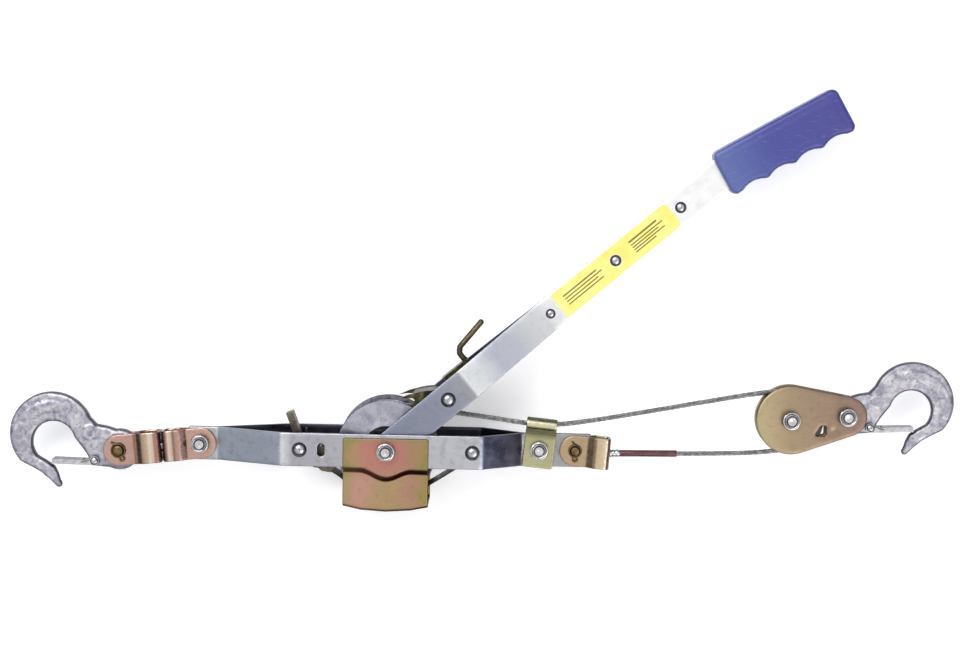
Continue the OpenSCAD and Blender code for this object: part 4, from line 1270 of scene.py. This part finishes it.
def hook_relief(x, y, d):
    """Raised pad along the bowl's back, ring boss, and forging waves."""
    r = np.hypot(x - BOWL[0], y - BOWL[1])
    a = np.degrees(np.arctan2(y - BOWL[1], x - BOWL[0]))
    turn = np.clip(np.abs(a - 45) - 50, 0, None) * r * math.pi / 180
    pad = smoothstep((5.2 - np.hypot(r - 30.2, turn)) / 1.1)
    boss = np.hypot(x - 24, y - 14.4)
    ring = np.exp(-((boss - 5.6) / 0.9) ** 2)
    eye = smoothstep((15.5 - np.hypot(x, y)) / 1.6)
    waves = np.sin(x * 0.31 + 1) * np.sin(y * 0.27)
    waves = 0.14 * (waves + 0.6 * np.sin(x * 0.71) * np.sin(y * 0.63 + 2))
    rise = (0.9 * pad + 0.7 * ring + 0.35 * eye + waves) * smoothstep(d / 3) - 0.9
    return rise, rise


def latch_pin(scale):
    """Where a hook of this scale holds its latch."""
    return LATCH_PIN[0] * scale, LATCH_PIN[1] * scale


def hook_mesh(scale):
    def depth(x, y):
        return hook_depth(x / scale, y / scale)

    def relief(x, y, d):
        return hook_relief(x / scale, y / scale, d)

    holes = [circle(0, 0, BORE_R, 40), circle(*latch_pin(scale), 2.06, 16)]
    return plate(hook_outline(scale), holes, HOOK_T, 2.6, 1.2, relief=relief, deep=depth)


latch_coil = helix(2.75, 8.35, 9.35, 2.2, 0.6)
latch_leg = smooth_route([latch_coil[-1], (3.7, 1.1, 9.4), (7.1, -0.2, 9.2), (11.2, -1, 8.6)], 0.8)
for name, scale, at in (("block", 1, ON_BLOCK_HOOK), ("tail", TAIL_HOOK_SCALE, ON_TAIL_HOOK)):
    body, pin = name + "_hook", latch_pin(scale)
    piece(name + "_forging", [hook_mesh(scale)], forged_zinc, body, at, [name + "_hook"], 50)
    piece(name + "_latch_rivet", [lifted(rivet(2, 10, 2.9, 0.9, 0.5), *pin)], dome_zinc, body, at,
          [name + "_latch_pin"])
    piece(name + "_latch_coil", [lifted(tube(latch_coil, 0.52, 8), *pin),
                                 lifted(tube(latch_leg, 0.48, 8), *pin)], spring_wire, body, at,
          [name + "_latch_spring"])

# ---- tail end ----

clevis_at = ON_TAIL @ spot(EYE_GAP) @ spot(turn=180)
piece("tail_yoke_sheet", [yoke(BAR_T + 0.2, 7.6, 12, 18, 32.7, BORE_R, 5.05)], yoke_zinc, "tail_yoke",
      ON_TAIL, ["tail_yoke"])
piece("tail_clevis_sheet", [yoke(HOOK_T / 2 + 0.3, 9.4, 16, 21, 36.5, BORE_R, 5.06)], clevis_zinc,
      "tail_clevis", clevis_at, ["tail_clevis"])
swivel = [(0, 27.3), (5.6, 27.3), (6.4, 27.7), (6.6, 28.4), (6.6, 30.3), (5, 30.3), (5, 36.4),
          (6.6, 36.4), (6.6, 38.2), (6.4, 39), (5.6, 39.4), (0, 39.4)]
piece("swivel_pin", [along_line(lathe(swivel, 48), (0, 0), (1, 0))], bright_zinc, "tail_yoke", ON_TAIL,
      ["swivel_rivet"])
piece("tail_clevis_pin", [lifted(clevis_pin(4.76, 7, 8.9), EYE_GAP)], dark_zinc, "tail_clevis",
      ON_TAIL, ["tail_pin"])
piece("tail_ring_cotter", [lifted(m, EYE_GAP) for m in cotter(10.3, 5.66, 200)], dark_zinc,
      "tail_clevis", ON_TAIL, ["tail_cotter"])

# ---- nodes that keep their own shape ----

KEPT = {
    "cross_spacer": (wheel_steel, 0.3), "drum_strap": (black_steel, 0.25),
    "axle_washer": (bright_zinc, 0.3), "drive_pawl": (pawl_steel, 0.45),
    "stop_pawl": (tab_steel, 0.45), "drum_barrel": (wheel_steel, 0.3),
    "ratchet_wheels": (wheel_steel, 0.25), "drum_hubs": (black_steel, 0.25),
    "sheave": (sheave_steel, 0.3), "sheave_bushing": (bronze, 0.15),
    "block_latch": (latch_zinc, 0.3), "tail_latch": (latch_zinc, 0.3),
}
for name, (material, width) in KEPT.items():
    obj = frame["nodes"][name]
    obj.data.materials.clear()
    obj.data.materials.append(material)
    bevel = obj.modifiers.new("edges", "BEVEL")
    bevel.width = width * MM
    bevel.segments = 2
    bevel.limit_method = "ANGLE"
    bevel.angle_limit = math.radians(32)
    bevel.use_clamp_overlap = True
    bevel.harden_normals = True

# ---- floor, light and camera ----

scene = bpy.context.scene
scene.view_settings.view_transform = "Standard"


def floor():
    mesh = bpy.data.meshes.new("floor")
    size = 4.0
    mesh.from_pydata([(-size, -size, 0), (size, -size, 0), (size, size, 0), (-size, size, 0)], [],
                     [(0, 1, 2, 3)])
    f = Finish("floor_paper", "", metallic=0.0, roughness=0.9)
    f.bsdf.inputs["Emission Color"].default_value = (1, 1, 1, 1)
    f.bsdf.inputs["Emission Strength"].default_value = 0.3
    obj = bpy.data.objects.new("floor", mesh)
    scene.collection.objects.link(obj)
    mesh.materials.append(f.finish(f.ramp(f.noise(60, 2), [(0.3, srgb(247, 247, 247)),
                                                         (0.7, srgb(250, 250, 250))])))


def sky():
    """Studio surroundings: bright overhead, greyer and bluer towards the horizon."""
    world = bpy.data.worlds.new("studio")
    world.use_nodes = True
    scene.world = world
    tree = world.node_tree
    coords = tree.nodes.new("ShaderNodeTexCoord")
    parts = tree.nodes.new("ShaderNodeSeparateXYZ")
    tree.links.new(coords.outputs["Generated"], parts.inputs[0])
    ramp = tree.nodes.new("ShaderNodeValToRGB")
    tree.links.new(parts.outputs[2], ramp.inputs[0])
    stops = [(0.0, srgb(44, 46, 56)), (0.3, srgb(84, 88, 102)), (0.52, srgb(168, 174, 188)),
             (0.66, srgb(222, 225, 232)), (0.8, srgb(255, 255, 255)), (1.0, srgb(255, 255, 255))]
    while len(ramp.color_ramp.elements) < len(stops):
        ramp.color_ramp.elements.new(0.5)
    for element, (at, colour) in zip(ramp.color_ramp.elements, stops):
        element.position = at
        element.color = colour
    tree.links.new(ramp.outputs[0], tree.nodes["Background"].inputs[0])
    tree.nodes["Background"].inputs[1].default_value = 1.1


def area(name, place, target, size, power, colour=(1, 1, 1)):
    light = bpy.data.lights.new(name, "AREA")
    light.shape = "RECTANGLE"
    light.size, light.size_y = size
    light.energy = power
    light.color = colour
    obj = bpy.data.objects.new(name, light)
    obj.location = place
    obj.rotation_euler = (Vector(target) - Vector(place)).to_track_quat("-Z", "Y").to_euler()
    scene.collection.objects.link(obj)
    return obj


floor()
sky()
area("key", (-0.5, 1.0, 1.5), (0.1, 0.1, 0), (1.2, 0.8), 16)
area("fill", (0.9, -0.8, 1.3), (0.1, 0.1, 0), (1.2, 0.8), 7, (1.0, 0.97, 0.94))

camera_data = bpy.data.cameras.new("camera")
camera_data.lens = 79.0
camera_data.sensor_width = 36
camera_data.clip_start, camera_data.clip_end = 0.05, 50
camera = bpy.data.objects.new("camera", camera_data)
turn = (Matrix.Rotation(math.radians(0.61), 4, "Y") @ Matrix.Rotation(math.radians(-5.25), 4, "X")
        @ Matrix.Rotation(math.radians(1.08), 4, "Z"))
target = Vector((0.0774, 0.1023, 0.040))
camera.matrix_world = Matrix.Translation(target + turn @ Vector((0, 0, 1.8))) @ turn
scene.collection.objects.link(camera)
scene.camera = camera
